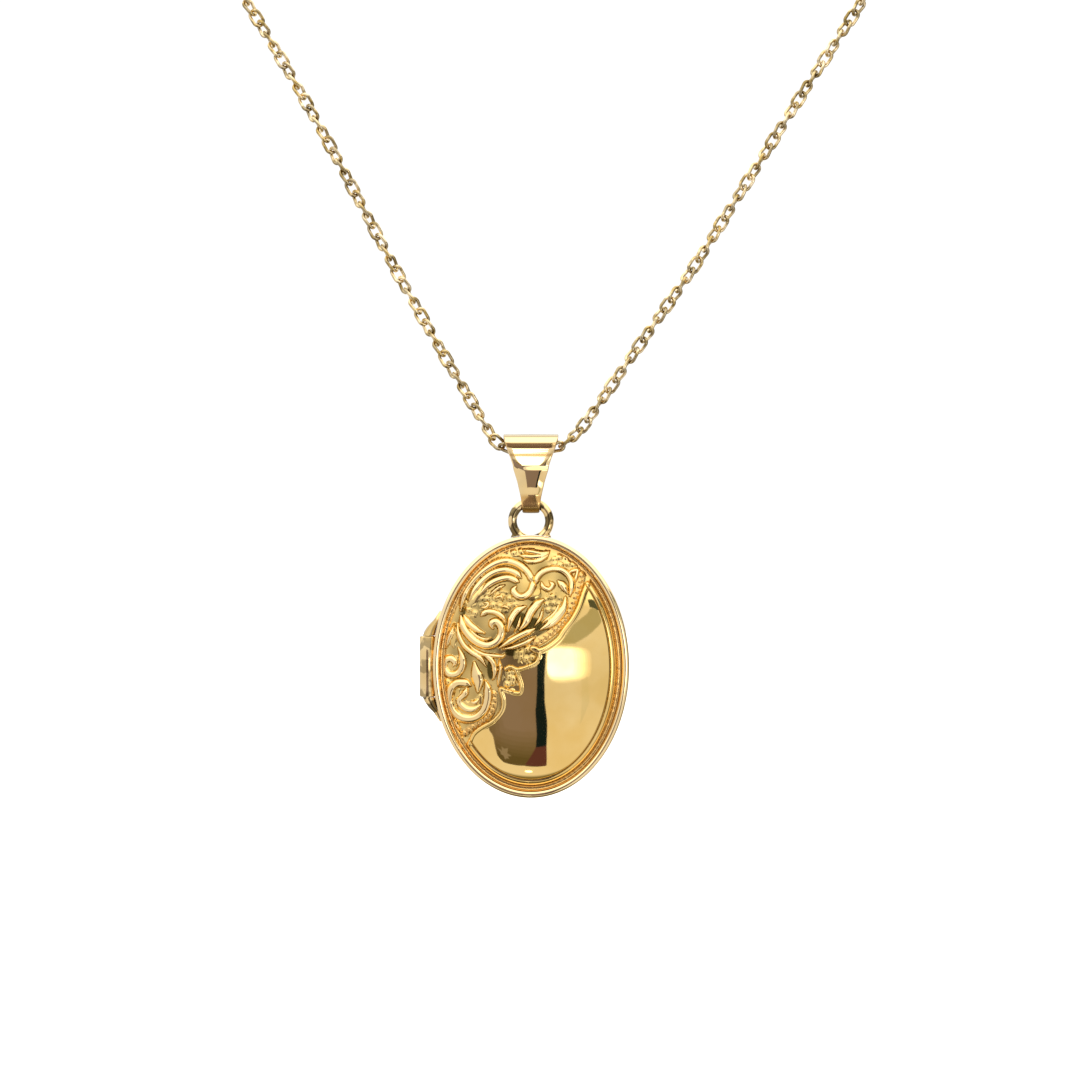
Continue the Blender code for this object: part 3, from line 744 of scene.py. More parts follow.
def disc_grid(size, lean):
    """Square grid mapped onto the unit disc, its quads finer towards the direction that lean points in."""
    side = np.linspace(-1, 1, size)
    u, v = np.meshgrid(side, side)
    flat = np.abs(u) >= np.abs(v)
    reach = np.where(flat, u, v)
    safe = np.where(reach == 0, 1, reach)
    turn = math.pi / 4 * np.where(flat, v, u) / safe
    disc = np.where(flat, reach * np.exp(1j * turn), 1j * reach * np.exp(-1j * turn))
    leaning = (disc + lean) / (1 + np.conj(lean) * disc)
    return leaning.real.ravel(), leaning.imag.ravel()


def inset_of(x, z):
    """How far inside the oval's outline each point lies, by halving."""
    low = np.zeros_like(x)
    high = np.full_like(x, OVAL_A_MM - 0.01)
    for _ in range(28):
        middle = (low + high) / 2
        inside = (x / (OVAL_A_MM - middle)) ** 2 + (z / (OVAL_B_MM - middle)) ** 2 < 1
        low = np.where(inside, middle, low)
        high = np.where(inside, high, middle)
    return (low + high) / 2


def border_order(size):
    """Indices of the square grid's edge points, once round, with rising angle from the lower right corner."""
    last = size - 1
    right = [row * size + last for row in range(0, last)]
    top = [last * size + column for column in range(last, 0, -1)]
    left = [row * size for row in range(last, 0, -1)]
    bottom = [column for column in range(0, last)]
    return right + top + left + bottom


def notch_for_hinge(points):
    """Pushes the rim clear of the hinge barrel, as a round channel along the hinge's axis."""
    for p in points:
        if abs(p[2] - OVAL_Z_MM) < NOTCH_HALF_MM and abs(p[1]) < HINGE_NOTCH_MM:
            edge = HINGE_X_MM + math.sqrt(HINGE_NOTCH_MM ** 2 - p[1] ** 2)
            p[0] = max(p[0], edge) if p[0] < 0 else p[0]


def ring_faces(first, second):
    """Quads between two rings of point indices of the same count."""
    count = len(first)
    return [(first[k], first[(k + 1) % count], second[(k + 1) % count], second[k]) for k in range(count)]


def cover(name, side, size, lean, field, material):
    """A hollow domed cover: a fine front field, the rim round it, and a plain inside."""
    unit_x, unit_z = disc_grid(size, lean)
    edge = border_order(size)
    angles = [math.atan2(unit_z[k], unit_x[k]) for k in edge]
    around = len(edge)
    x = [unit_x * (OVAL_A_MM - FOOT_RING_INSETS[0])]
    z = [unit_z * (OVAL_B_MM - FOOT_RING_INSETS[0])]
    for inset in FOOT_RING_INSETS[1:]:
        x.append((OVAL_A_MM - inset) * np.cos(angles))
        z.append((OVAL_B_MM - inset) * np.sin(angles))
    x = np.concatenate(x)
    z = np.concatenate(z)
    height, recess, milled, crest = field(x, z)
    points = [[px, side * h, OVAL_Z_MM + pz] for px, pz, h in zip(x, z, height)]
    tint = list(recess)
    mill = list(milled)
    faces = grid_faces(size, size, wrap_columns=False)
    previous = edge
    for row in range(len(FOOT_RING_INSETS) - 1):
        ring = list(range(size * size + row * around, size * size + (row + 1) * around))
        faces += ring_faces(previous, ring)
        previous = ring
    bead = list(crest)
    for inset, level in reversed(rim_points()):
        start = len(points)
        in_groove = max(0.0, 1 - abs(inset - 0.76) / 0.24)
        for k, angle in enumerate(angles):
            ripple = math.cos(97 * angle) + 0.8 * math.cos(151 * angle + 1.0) + 0.5 * math.cos(263 * angle)
            wave = in_groove * 0.004 * ripple
            points.append([(OVAL_A_MM - inset) * math.cos(angle), side * (level + wave),
                           OVAL_Z_MM + (OVAL_B_MM - inset) * math.sin(angle)])
            tint.append(0.0)
            mill.append(min(1.0, 1.5 * in_groove))
            # Painted highlight on the rim's bead
            bead.append(1.0 if inset < 0.57 else 0.0)
        ring = list(range(start, start + around))
        faces += ring_faces(previous, ring)
        previous = ring
    inner = [(0.55, PARTING_HALF_MM), (0.57, 0.33), (1.00, 0.35), (1.45, 0.66)]
    inner_rings = [[((OVAL_A_MM - i) * math.cos(a), h, (OVAL_B_MM - i) * math.sin(a)) for a in angles]
                   for i, h in inner]
    for share in (0.90, 0.70, 0.40, 0.10):
        level = float(plain_dome(np.array(share))) - SHELL_WALL_MM
        inner_rings.append([(share * (OVAL_A_MM - DOME_INSET_MM) * math.cos(a), level,
                             share * (OVAL_B_MM - DOME_INSET_MM) * math.sin(a)) for a in angles])
    for ring_points in inner_rings:
        start = len(points)
        points += [[px, side * h, OVAL_Z_MM + pz] for px, h, pz in ring_points]
        tint += [0.0] * around
        mill += [0.4] * around
        bead += [0.0] * around
        ring = list(range(start, start + around))
        faces += ring_faces(previous, ring)
        previous = ring
    faces.append(tuple(previous))
    notch_for_hinge(points)
    made = mesh_object(name, points, faces, material, 50)
    store_amounts(made, recess=tint, milled=mill, bead=bead)
    return made


def plain_field(x, z):
    """Height of a plain cover's field, and its painted shade, milled and painted highlight amounts."""
    inset = inset_of(x, z)
    share = np.sqrt((x / (OVAL_A_MM - DOME_INSET_MM)) ** 2 + (z / (OVAL_B_MM - DOME_INSET_MM)) ** 2)
    line = 0.07 * np.exp(-((inset - 1.43) / 0.035) ** 2)
    height = np.where(share >= 1, plain_band(inset), plain_dome(share) - line)
    # Painted shade along the groove at the dome's foot
    foot = 0.55 * np.exp(-((inset - 1.43) / 0.035) ** 2)
    return height, foot, np.clip(1 - (inset - FIELD_INSET_MM) / 0.15, 0, 0.5), np.zeros_like(x)


# Relief: strokes on the face in millimetres from the oval's centre, X right and Z up
RIDGES = (
    (0.20, ((4.32, 6.30), (4.00, 5.50), (3.66, 4.52), (3.18, 3.65), (2.54, 2.82), (2.07, 2.15),
     (1.20, 1.49), (0.52, 1.25), (0.10, 1.45))),
    (0.14, ((0.20, 1.50), (0.50, 1.38), (0.66, 1.00), (0.39, 0.38), (-0.26, 0.06), (-0.99, -0.14),
     (-1.55, 0.05), (-1.90, -0.10))),
    (0.14, ((-1.10, -0.22), (-0.90, -0.75), (-0.72, -1.45), (-0.86, -1.94), (-1.55, -1.84),
     (-2.30, -1.60))),
    (0.17, ((-2.28, -1.75), (-2.05, -2.55), (-2.20, -3.32), (-2.83, -4.06), (-3.75, -4.61), (-4.30, -5.07),
     (-4.58, -5.62), (-4.75, -5.95))),
)
SOFT_RIDGE = RIDGES[3][1]
# Milled bands: half width, spacing of the beads, points
BANDS = (
    (0.30, 0.42, ((3.85, 6.95), (3.62, 5.99), (3.33, 5.25), (3.04, 4.48), (2.69, 3.89), (2.21, 3.26),
     (1.67, 2.72), (1.04, 2.24), (0.48, 1.90))),
    (0.26, 0.42, ((-2.83, -2.04), (-2.85, -2.75), (-3.05, -3.41), (-3.57, -3.97), (-4.39, -4.52),
     (-5.04, -5.07))),
    (0.22, 0.34, ((-4.60, 7.05), (-5.25, 6.20), (-5.75, 5.20), (-6.12, 4.10), (-6.40, 3.10),
     (-6.60, 2.40))),
    (0.22, 0.34, ((-6.80, -0.90), (-6.72, -1.90), (-6.52, -2.80), (-6.22, -3.70), (-5.80, -4.60))),
)
# Patches of pebbled ground: centre and half sizes
PEBBLED = (
    (-1.50, 8.75, 1.10, 0.35), (2.45, 8.00, 1.15, 0.65), (1.65, 4.80, 0.70, 0.85),
    (-2.45, 5.00, 1.40, 0.80), (-0.35, 0.95, 0.85, 0.65), (-1.45, -0.95, 0.60, 0.75),
    (-6.50, -1.40, 0.40, 0.60), (-4.40, 4.60, 0.60, 0.80)
)
# Painted shadow in the hollows between the leaves: centre and half sizes
PAINTED_SHADOW_PATCHES = (
    (-0.75, 3.45, 0.75, 0.75), (0.20, 3.25, 0.75, 0.55), (0.20, 4.40, 0.30, 0.45),
    (-1.45, 1.15, 0.55, 0.30), (-3.05, -0.10, 0.28, 0.85), (-5.25, 4.20, 0.30, 0.40)
)
# Strokes: half width, height, taper at the start, taper at the end, points
SCROLLS = (
    # low swellings that fill the left-hand volutes
    (0.50, 0.15, 1.0, 1.0, ((-5.55, -1.75), (-5.55, -2.60), (-4.90, -3.20), (-4.20, -2.95),
     (-3.85, -2.20))),
    (0.40, 0.15, 0.6, 0.6, ((-6.20, -0.30), (-5.95, 0.25), (-5.60, 0.75))),
    (0.30, 0.14, 0.6, 0.6, ((-5.75, 2.90), (-5.95, 2.10), (-5.85, 1.50))),
    (0.34, 0.14, 0.6, 0.6, ((-4.75, 4.60), (-4.10, 5.60), (-3.10, 6.35))),
    # large upper scroll and its fluted bands
    (0.25, 0.33, 1.4, 0.5, ((-5.33, 4.26), (-5.23, 4.87), (-5.02, 5.61), (-4.60, 6.34), (-3.98, 7.02),
     (-3.25, 7.57), (-2.51, 7.94), (-1.78, 8.06), (-1.10, 7.88), (-0.55, 7.51), (-0.12, 7.02),
     (0.16, 6.34))),
    (0.23, 0.31, 1.2, 0.4, ((-4.72, 5.00), (-4.29, 5.85), (-3.61, 6.65), (-2.82, 7.20), (-1.96, 7.39),
     (-1.22, 7.20), (-0.73, 6.77))),
    (0.23, 0.30, 1.0, 0.3, ((-3.92, 5.49), (-3.25, 6.22), (-2.45, 6.65), (-1.65, 6.77), (-0.92, 6.47))),
    (0.12, 0.24, 0.6, 0.4, ((-3.25, 5.36), (-2.51, 5.98), (-1.95, 6.24))),
    (0.25, 0.36, 0.3, 0.5, ((0.12, 6.50), (0.12, 6.10), (-0.12, 5.65), (-0.58, 5.36), (-1.05, 5.44),
     (-1.33, 5.82), (-1.12, 6.14))),
    # top leaf
    (0.17, 0.26, 0.4, 0.6, ((-0.60, 8.86), (0.18, 8.73), (0.80, 8.62), (1.41, 8.76))),
    (0.18, 0.28, 0.4, 0.6, ((-0.85, 8.45), (-0.06, 8.38), (0.80, 8.42), (1.38, 8.64))),
    (0.18, 0.28, 0.4, 0.6, ((-0.58, 8.12), (0.10, 8.02), (0.80, 8.18), (1.30, 8.45))),
    # right-hand scroll
    (0.22, 0.32, 0.3, 0.6, ((0.37, 6.34), (0.49, 6.83), (0.92, 7.26), (1.53, 7.47), (2.21, 7.42),
     (2.76, 7.08), (3.08, 6.53), (3.12, 5.91), (2.94, 5.42))),
    (0.17, 0.30, 0.3, 0.3, ((0.80, 6.47), (0.92, 6.10), (1.35, 5.91), (1.66, 6.22), (1.41, 6.50))),
    (0.25, 0.30, 0.4, 0.5, ((2.05, 6.55), (2.45, 6.15), (2.78, 5.60))),
    (0.14, 0.26, 0.3, 0.3, ((2.84, 7.14), (3.20, 7.32), (3.55, 7.33), (3.47, 6.90), (3.37, 6.45))),
    (0.31, 0.33, 1.0, 0.9, ((2.62, 5.30), (2.52, 4.51), (2.06, 3.83), (1.41, 3.26), (0.75, 2.88))),
    (0.12, 0.24, 0.5, 0.5, ((2.20, 4.95), (1.90, 4.26), (1.38, 3.75), (0.80, 3.34))),
    # palmette
    (0.24, 0.33, 0.9, 0.6, ((-1.75, 2.75), (-1.60, 3.30), (-1.42, 3.80), (-1.02, 4.32), (-0.38, 4.64))),
    (0.28, 0.34, 0.9, 0.6, ((-0.85, 2.85), (-0.37, 3.40), (-0.04, 4.14), (0.43, 4.75), (0.95, 5.14))),
    (0.12, 0.24, 0.5, 0.5, ((-1.25, 2.70), (-0.95, 3.20), (-0.78, 3.90))),
    (0.12, 0.24, 0.5, 0.5, ((0.25, 3.10), (0.72, 3.77), (0.92, 4.51))),
    (0.22, 0.32, 0.9, 0.6, ((-2.39, 1.50), (-1.78, 1.87), (-1.04, 2.30), (-0.31, 2.66), (0.31, 2.95))),
    (0.17, 0.28, 0.9, 0.6, ((-2.14, 1.40), (-1.29, 1.54), (-0.43, 1.87), (0.31, 2.32))),
    (0.36, 0.14, 0.4, 0.4, ((-0.10, 5.28), (0.35, 5.55), (0.62, 5.85))),
    # central scroll
    (0.27, 0.34, 0.7, 0.5, ((-5.33, 3.89), (-5.21, 3.16), (-4.72, 2.42), (-4.04, 1.87), (-3.25, 1.66),
     (-2.57, 1.96), (-2.23, 2.54), (-2.29, 3.14), (-2.63, 3.46), (-2.98, 3.30), (-2.88, 2.93))),
    (0.23, 0.29, 0.5, 0.8, ((-5.10, 3.95), (-4.74, 3.34), (-4.10, 2.84), (-3.50, 2.58))),
    (0.13, 0.24, 0.5, 0.6, ((-4.70, 2.90), (-4.10, 2.36), (-3.45, 2.12), (-2.98, 2.25))),
    (0.20, 0.30, 0.3, 0.6, ((-3.80, 3.89), (-3.37, 4.20), (-2.70, 4.16), (-2.16, 3.83), (-1.92, 3.34))),
    (0.12, 0.24, 0.3, 0.3, ((-3.78, 4.48), (-3.37, 4.57), (-3.25, 4.85), (-3.62, 4.88))),
    (0.11, 0.22, 0.3, 0.3, ((-2.80, 5.24), (-2.27, 5.36), (-2.12, 5.02))),
    (0.11, 0.22, 0.3, 0.3, ((-2.30, 4.51), (-1.98, 4.62), (-1.62, 4.40))),
    # stems below the central scroll
    (0.19, 0.30, 0.9, 0.8, ((-5.58, 3.30), (-5.52, 2.50), (-5.12, 1.70), (-4.45, 1.10), (-3.85, 0.72),
     (-3.38, 0.08))),
    (0.15, 0.28, 0.8, 0.5, ((-4.70, 1.75), (-4.20, 1.28), (-3.55, 0.98), (-2.83, 0.90), (-2.20, 0.84),
     (-1.92, 1.05))),
    (0.20, 0.31, 0.5, 0.7, ((-3.65, 1.02), (-3.15, 0.72), (-2.83, 0.26), (-2.74, -0.38), (-2.88, -0.90))),
    (0.13, 0.25, 0.4, 0.5, ((-2.40, 0.55), (-2.30, -0.10), (-2.42, -0.80), (-2.50, -1.40))),
    (0.40, 0.32, 1.0, 0.9, ((-4.28, 0.35), (-4.18, -0.35), (-3.98, -1.05), (-4.02, -1.85))),
    # small left scroll and its leaf
    (0.26, 0.32, 0.9, 0.5, ((-5.50, 1.45), (-5.24, 0.80), (-5.22, 0.05), (-5.60, -0.50), (-6.20, -0.58),
     (-6.60, -0.15), (-6.54, 0.42), (-6.10, 0.62), (-5.78, 0.32), (-5.96, 0.02))),
    (0.20, 0.29, 0.9, 0.5, ((-5.80, 3.30), (-6.00, 2.70), (-6.28, 2.10), (-6.48, 1.40))),
    # large lower scroll
    (0.30, 0.34, 0.4, 0.8, ((-4.58, -1.38), (-5.10, -1.20), (-5.70, -1.28), (-6.18, -1.85), (-6.25, -2.72),
     (-5.87, -3.46), (-5.13, -3.92), (-4.25, -3.86), (-3.60, -3.32), (-3.30, -2.50), (-3.26, -1.70),
     (-3.42, -1.05))),
    (0.24, 0.32, 0.4, 0.7, ((-4.85, -1.60), (-5.06, -2.10), (-5.50, -2.62), (-5.05, -3.14), (-4.45, -3.26),
     (-3.85, -2.92))),
    (0.17, 0.30, 0.3, 0.3, ((-4.55, -2.62), (-4.25, -2.70), (-3.98, -2.45))),
    (0.14, 0.26, 0.4, 0.5, ((-5.95, -4.00), (-5.60, -4.45), (-5.32, -5.00))),
)
REGION = (
    (4.45, 6.55), (4.00, 5.50), (3.66, 4.52), (3.18, 3.65), (2.54, 2.82), (2.07, 2.15), (1.20, 1.49),
    (0.62, 1.35), (0.66, 1.00), (0.39, 0.38), (-0.26, 0.06), (-0.99, -0.14), (-0.90, -0.75), (-0.72, -1.45),
    (-0.86, -1.94), (-1.55, -1.84), (-2.25, -1.62), (-2.05, -2.55), (-2.20, -3.32), (-2.83, -4.06),
    (-3.75, -4.61), (-4.30, -5.07), (-4.58, -5.62), (-4.75, -6.05), (-9.0, -6.6), (-9.0, 11.0), (5.0, 11.0)
)
REGION_EDGE_COUNT = 24
GROUND_DROP = 0.17
STROKE_WIDEN = 1.2


def inside_polygon(x, z, corners):
    """Even-odd test of many points at once."""
    inside = np.zeros(x.shape, bool)
    for (x1, z1), (x2, z2) in zip(corners, corners[1:] + corners[:1]):
        if z1 == z2:
            continue
        crosses = ((z1 > z) != (z2 > z)) & (x < (x2 - x1) * (z - z1) / (z2 - z1) + x1)
        inside ^= crosses
    return inside


def distance_to(x, z, line):
    """Shortest distance from many points to the samples of a line."""
    best = np.full(x.shape, 99.0)
    for lx, lz in line:
        best = np.minimum(best, (x - lx) ** 2 + (z - lz) ** 2)
    return np.sqrt(best)


def stroke_height(x, z, half_width, height, taper_in, taper_out, points):
    """A raised, round-backed stroke that narrows towards its ends."""
    step = 0.05
    line = smooth_line(points, step)
    length = (len(line) - 1) * step
    out = np.zeros_like(x)
    low = line.min(axis=0) - half_width
    high = line.max(axis=0) + half_width
    near = (x > low[0]) & (x < high[0]) & (z > low[1]) & (z < high[1])
    px, pz = x[near], z[near]
    best = np.full(px.shape, 9.0)
    size = np.zeros(px.shape)
    for k, (lx, lz) in enumerate(line):
        narrow = min(1.0, 0.3 + 0.7 * k * step / taper_in, 0.3 + 0.7 * (length - k * step) / taper_out)
        ratio = np.sqrt((px - lx) ** 2 + (pz - lz) ** 2) / (half_width * narrow)
        closer = ratio < best
        best = np.where(closer, ratio, best)
        size = np.where(closer, narrow, size)
    out[near] = height * size ** 0.4 * np.clip(1 - best ** 2, 0, 1) ** 0.7
    return out


def pebbles(x, z, cell):
    """Rounded pebbles on a jittered grid, 0 to 1."""
    column = np.floor(x / cell)
    row = np.floor(z / cell)
    best = np.full(x.shape, 9.0)
    for i in (-1, 0, 1):
        for j in (-1, 0, 1):
            cx = column + i
            cz = row + j
            jitter_x = np.modf(np.abs(np.sin(cx * 12.9898 + cz * 78.233) * 43758.5453))[0]
            jitter_z = np.modf(np.abs(np.sin(cx * 39.346 + cz * 11.135) * 24634.6345))[0]
            dx = x - (cx + 0.2 + 0.6 * jitter_x) * cell
            dz = z - (cz + 0.2 + 0.6 * jitter_z) * cell
            best = np.minimum(best, np.sqrt(dx * dx + dz * dz) / cell)
    return np.clip(1 - (best / 0.55) ** 2, 0, 1)


def ellipse_weight(x, z, ellipses):
    """How strongly each point lies in any of some soft ellipses, 0 to 1."""
    weight = np.zeros_like(x)
    for cx, cz, half_x, half_z in ellipses:
        reach = np.sqrt(((x - cx) / half_x) ** 2 + ((z - cz) / half_z) ** 2)
        weight = np.maximum(weight, np.clip((1.15 - reach) / 0.3, 0, 1))
    return weight


def relief_field(x, z):
    """Height of the decorated face, and its painted shade, milled and painted highlight amounts."""
    plain, foot, milled, _ = plain_field(x, z)
    outer = np.sqrt((x / (OVAL_A_MM - FIELD_INSET_MM)) ** 2 + (z / (OVAL_B_MM - FIELD_INSET_MM)) ** 2)
    base = 0.60 + (DOME_TOP_MM - 0.60) * np.clip(1 - outer * outer, 0, 1) ** 0.8
    ground = base - GROUND_DROP * np.clip((1 - outer) / 0.08, 0, 1)
    edge = distance_to(x, z, smooth_line(REGION[:REGION_EDGE_COUNT], 0.05))
    signed = np.where(inside_polygon(x, z, REGION), edge, -edge)
    mask = np.clip(0.5 + signed / 0.12, 0, 1)
    mask = mask * mask * (3 - 2 * mask)

    raised = np.zeros_like(x)
    for stroke in SCROLLS:
        raised = np.maximum(raised, stroke_height(x, z, STROKE_WIDEN * stroke[0], *stroke[1:]))
    open_ground = np.clip(1 - raised / 0.05, 0, 1)
    band_amount = np.zeros_like(x)
    for half_width, spacing, points in BANDS:
        across = distance_to(x, z, smooth_line(points, 0.05)) / half_width
        strip = np.clip((1.1 - across) / 0.25, 0, 1) * open_ground
        band_amount = np.maximum(band_amount, strip)
        beads = distance_to(x, z, smooth_line(points, spacing)) / (0.42 * spacing)
        crest = 0.07 + 0.10 * np.sqrt(np.clip(1 - beads ** 2, 0, 1))
        raised = np.maximum(raised, strip * crest)
    pebbled = ellipse_weight(x, z, PEBBLED) * open_ground * (1 - band_amount)
    raised = raised + 0.15 * pebbles(x, z, 0.50) * pebbled
    height = plain * (1 - mask) + (ground + raised) * mask

    soft = distance_to(x, z, smooth_line(SOFT_RIDGE, 0.05))
    height = height + 0.03 * np.exp(-(soft / 0.50) ** 2) * (1 - mask)
    for half_width, points in RIDGES:
        reach = distance_to(x, z, smooth_line(points, 0.05)) / half_width
        crest = np.clip(1 - reach ** 2.5, 0, 1) ** 0.6
        top = np.maximum(ground, plain - 0.06) + 0.17 * crest
        height = np.where(crest > 0, np.maximum(height, top), height)
    # Painted shade, with some patina: the hollows darken with depth, more towards the top, in waves, fully in
    # the painted shadow patches and along the foot line, never on the milled bands
    recess = np.clip((ground + 0.20 - height) / 0.20, 0, 1) * mask * np.clip((1 - outer) / 0.10, 0, 1)
    shade_strength = 0.52 + 0.22 * np.sin(2.3 * x + 0.8 * z) * np.sin(1.9 * z - 1.1 * x + 1)
    # Painted highlight: the tops of the taller strokes are paler, except on the milled bands
    crest = 0.7 * np.clip((raised - 0.16) / 0.10, 0, 1) * mask * (1 - band_amount)
    shade_strength = shade_strength * (0.55 + 0.45 * np.clip((z + 1.5) / 2.5, 0, 1))
    shade_strength = np.maximum(shade_strength, ellipse_weight(x, z, PAINTED_SHADOW_PATCHES))
    recess = np.maximum(recess * shade_strength * (1 - band_amount), foot * (1 - mask))
    return height, recess, np.maximum(milled, 0.8 * band_amount * mask), crest


front = cover("front_shell", -1, 245, 0.26 * np.exp(2.15j), relief_field, GOLD_FACE)
place_piece(front, "locket_front", "gold_cover", "front_cover")
back = cover("back_shell", 1, 121, 0.0, plain_field, GOLD_FACE)
place_piece(back, "locket_back", "gold_cover", "back_cover")


# ---------------------------------------------------------------- pieces inside the covers

def oval_band(name, profile, side, material, segments=240):
    """A closed oval ring; profile is inset and height pairs in millimetres."""
    points = []
    for inset, level in profile:
        for k in range(segments):
            angle = 2 * math.pi * k / segments
            points.append(((OVAL_A_MM - inset) * math.cos(angle), side * level,
                           OVAL_Z_MM + (OVAL_B_MM - inset) * math.sin(angle)))
    return mesh_object(name, points, grid_faces(len(profile), segments, wrap_rows=True), material)


def photo_frame(half, side, body):
    """A retaining ring with a rounded back and a bevelled sight edge."""
    profile = [(1.09, 0.29), (1.08, 0.14)]
    for k in range(9):
        angle = math.radians(180 - 18 * k)
        profile.append((1.30 + 0.22 * math.cos(angle), 0.14 - 0.09 * math.sin(angle)))
    profile += [(1.60, 0.12), (1.86, 0.20), (1.94, 0.25), (1.94, 0.295)]
    made = oval_band(f"{half}_sight_ring", profile, side, GOLD_INNER)
    place_piece(made, body, "gold_inner", f"{half}_photo_frame")


def oval_plate(name, layer, side, material):
    """A thin oval plate with softened edges."""
    low, high = layer
    segments = 160
    shares = (1.0, 0.97, 0.85, 0.6, 0.3, 0.02)
    half_x = OVAL_A_MM - SHEET_INSET_MM
    half_z = OVAL_B_MM - SHEET_INSET_MM
    stations = [(share, low) for share in reversed(shares)]
    stations += [(1.0 + 0.02 / half_x, low + 0.02), (1.0 + 0.02 / half_x, high - 0.02)]
    stations += [(share, high) for share in shares]
    points = []
    for share, level in stations:
        for k in range(segments):
            angle = 2 * math.pi * k / segments
            points.append((share * half_x * math.cos(angle), side * level,
                           OVAL_Z_MM + share * half_z * math.sin(angle)))
    return mesh_object(name, points, capped_faces(len(stations), segments), material)


for half, side, body in (("front", -1, "locket_front"), ("back", 1, "locket_back")):
    photo_frame(half, side, body)
    pane = oval_plate(f"{half}_pane", PANE_LAYER_MM, side, GLASS)
    place_piece(pane, body, "clear_window", f"{half}_window")
    paper = oval_plate(f"{half}_card", PAPER_LAYER_MM, side, CARD)
    place_piece(paper, body, "photo_card", f"{half}_photo_card")

catch = oval_band("catch_lip", [(0.61, 0.28), (0.61, -0.20), (0.63, -0.25), (0.67, -0.28), (0.74, -0.26),
                                (0.86, -0.10), (0.88, -0.04), (0.88, 0.28)], 1, GOLD_INNER)
place_piece(catch, "locket_back", "gold_inner", "catch_rim")


# ---------------------------------------------------------------- hinge, ring and bail

def barrel(name, low, high, radius, bevel):
    """A hinge barrel with eased ends along the hinge's axis."""
    segments = 64
    stations = [(radius - 3 * bevel, low), (radius - bevel, low), (radius - 0.3 * bevel, low + 0.3 * bevel),
                (radius, low + bevel), (radius, high - bevel), (radius - 0.3 * bevel, high - 0.3 * bevel),
                (radius - bevel, high), (radius - 3 * bevel, high)]
    points = []
    for size, level in stations:
        for k in range(segments):
            angle = 2 * math.pi * k / segments
            points.append((HINGE_X_MM + size * math.cos(angle), size * math.sin(angle), OVAL_Z_MM + level))
    return mesh_object(name, points, capped_faces(len(stations), segments))


SHOULDER_STATIONS = (
    (2.35, -8.27, 0.48, 0.0), (2.75, -8.08, 0.44, 0.06), (3.15, -7.80, 0.37, 0.09),
    (3.55, -7.42, 0.27, 0.10), (3.90, -7.18, 0.19, 0.10), (4.22, -6.96, 0.08, 0.10)
)


def seat_on_rim(piece, half_depth, material):
    """Cuts a piece back to the covers' outline, a hair's gap clear of it."""
    points = []
    half_x = OVAL_A_MM + SEAT_GAP_MM
    half_z = OVAL_B_MM + SEAT_GAP_MM
    for y in (-half_depth, half_depth):
        for k in range(512):
            angle = 2 * math.pi * k / 512
            points.append((half_x * math.cos(angle), y, OVAL_Z_MM + half_z * math.sin(angle)))
    boolean(piece, mesh_object("seat", points, capped_faces(2, 512)), "DIFFERENCE")
    dress(piece, material)


def shoulder(name, up, node_name, material):
    """A hinge shoulder tapering from the middle barrel along the rim."""
    sides = 48
    stations = smooth_line(SHOULDER_STATIONS, 0.06)
    points = []
    for height, left, radius, y in stations:
        for k in range(sides):
            angle = 2 * math.pi * k / sides
            points.append((left + radius + radius * math.cos(angle), y + radius * math.sin(angle),
                           OVAL_Z_MM + up * height))
    made = mesh_object(name, points, capped_faces(len(stations), sides))
    seat_on_rim(made, 2, material)
    place_piece(made, "locket_back", "gold_fittings", node_name)


middle = barrel("barrel_middle", -BARREL_HALF_MM, BARREL_HALF_MM, BARREL_MM, 0.14)
bore_ends = [(HINGE_X_MM, 0, OVAL_Z_MM + reach) for reach in (-3, 3)]
boolean(middle, bent_wire("pin_bore", bore_ends, PIN_BORE_MM, 32), "DIFFERENCE")
dress(middle, GOLD_HINGE)
place_piece(middle, "locket_front", "gold_fittings", "hinge_knuckle_middle")
shoulder("shoulder_upper", 1, "hinge_knuckle_upper", GOLD_HINGE)
shoulder("shoulder_lower", -1, "hinge_knuckle_lower", GOLD_RING)
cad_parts["hinge_pin"].data.materials.clear()
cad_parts["hinge_pin"].data.materials.append(GOLD_FITTING)


def suspension_ring():
    """The wire ring melted into its flared foot, then seated on the rim."""
    path = [(RING_MM * math.cos(a), 0, RING_Z_MM + RING_MM * math.sin(a))
            for a in np.linspace(0, 2 * math.pi, 96, False)]
    points, faces = sweep(path, lambda i, share: circle(RING_WIRE_MM, 28), closed=True, up=(0, 1, 0))
    made = mesh_object("hanging_ring", points, faces)
    rows, columns = 17, 40
    for x in (-0.95, 0.95):
        foot_points = []
        for i in range(rows):
            lat = math.pi * (i + 0.5) / rows
            for j in range(columns):
                lon = 2 * math.pi * j / columns
                foot_points.append((x + FOOT_MM * math.sin(lat) * math.cos(lon),
                                    0.33 * math.sin(lat) * math.sin(lon),
                                    OVAL_Z_MM + OVAL_B_MM - 0.30 + FOOT_MM * math.cos(lat)))
        boolean(made, mesh_object("foot", foot_points, capped_faces(rows, columns)), "UNION")
    melt(made, 0.035, 14)
    seat_on_rim(made, 1, GOLD_RING)
    place_piece(made, "locket_back", "gold_fittings", "suspension_ring")


suspension_ring()

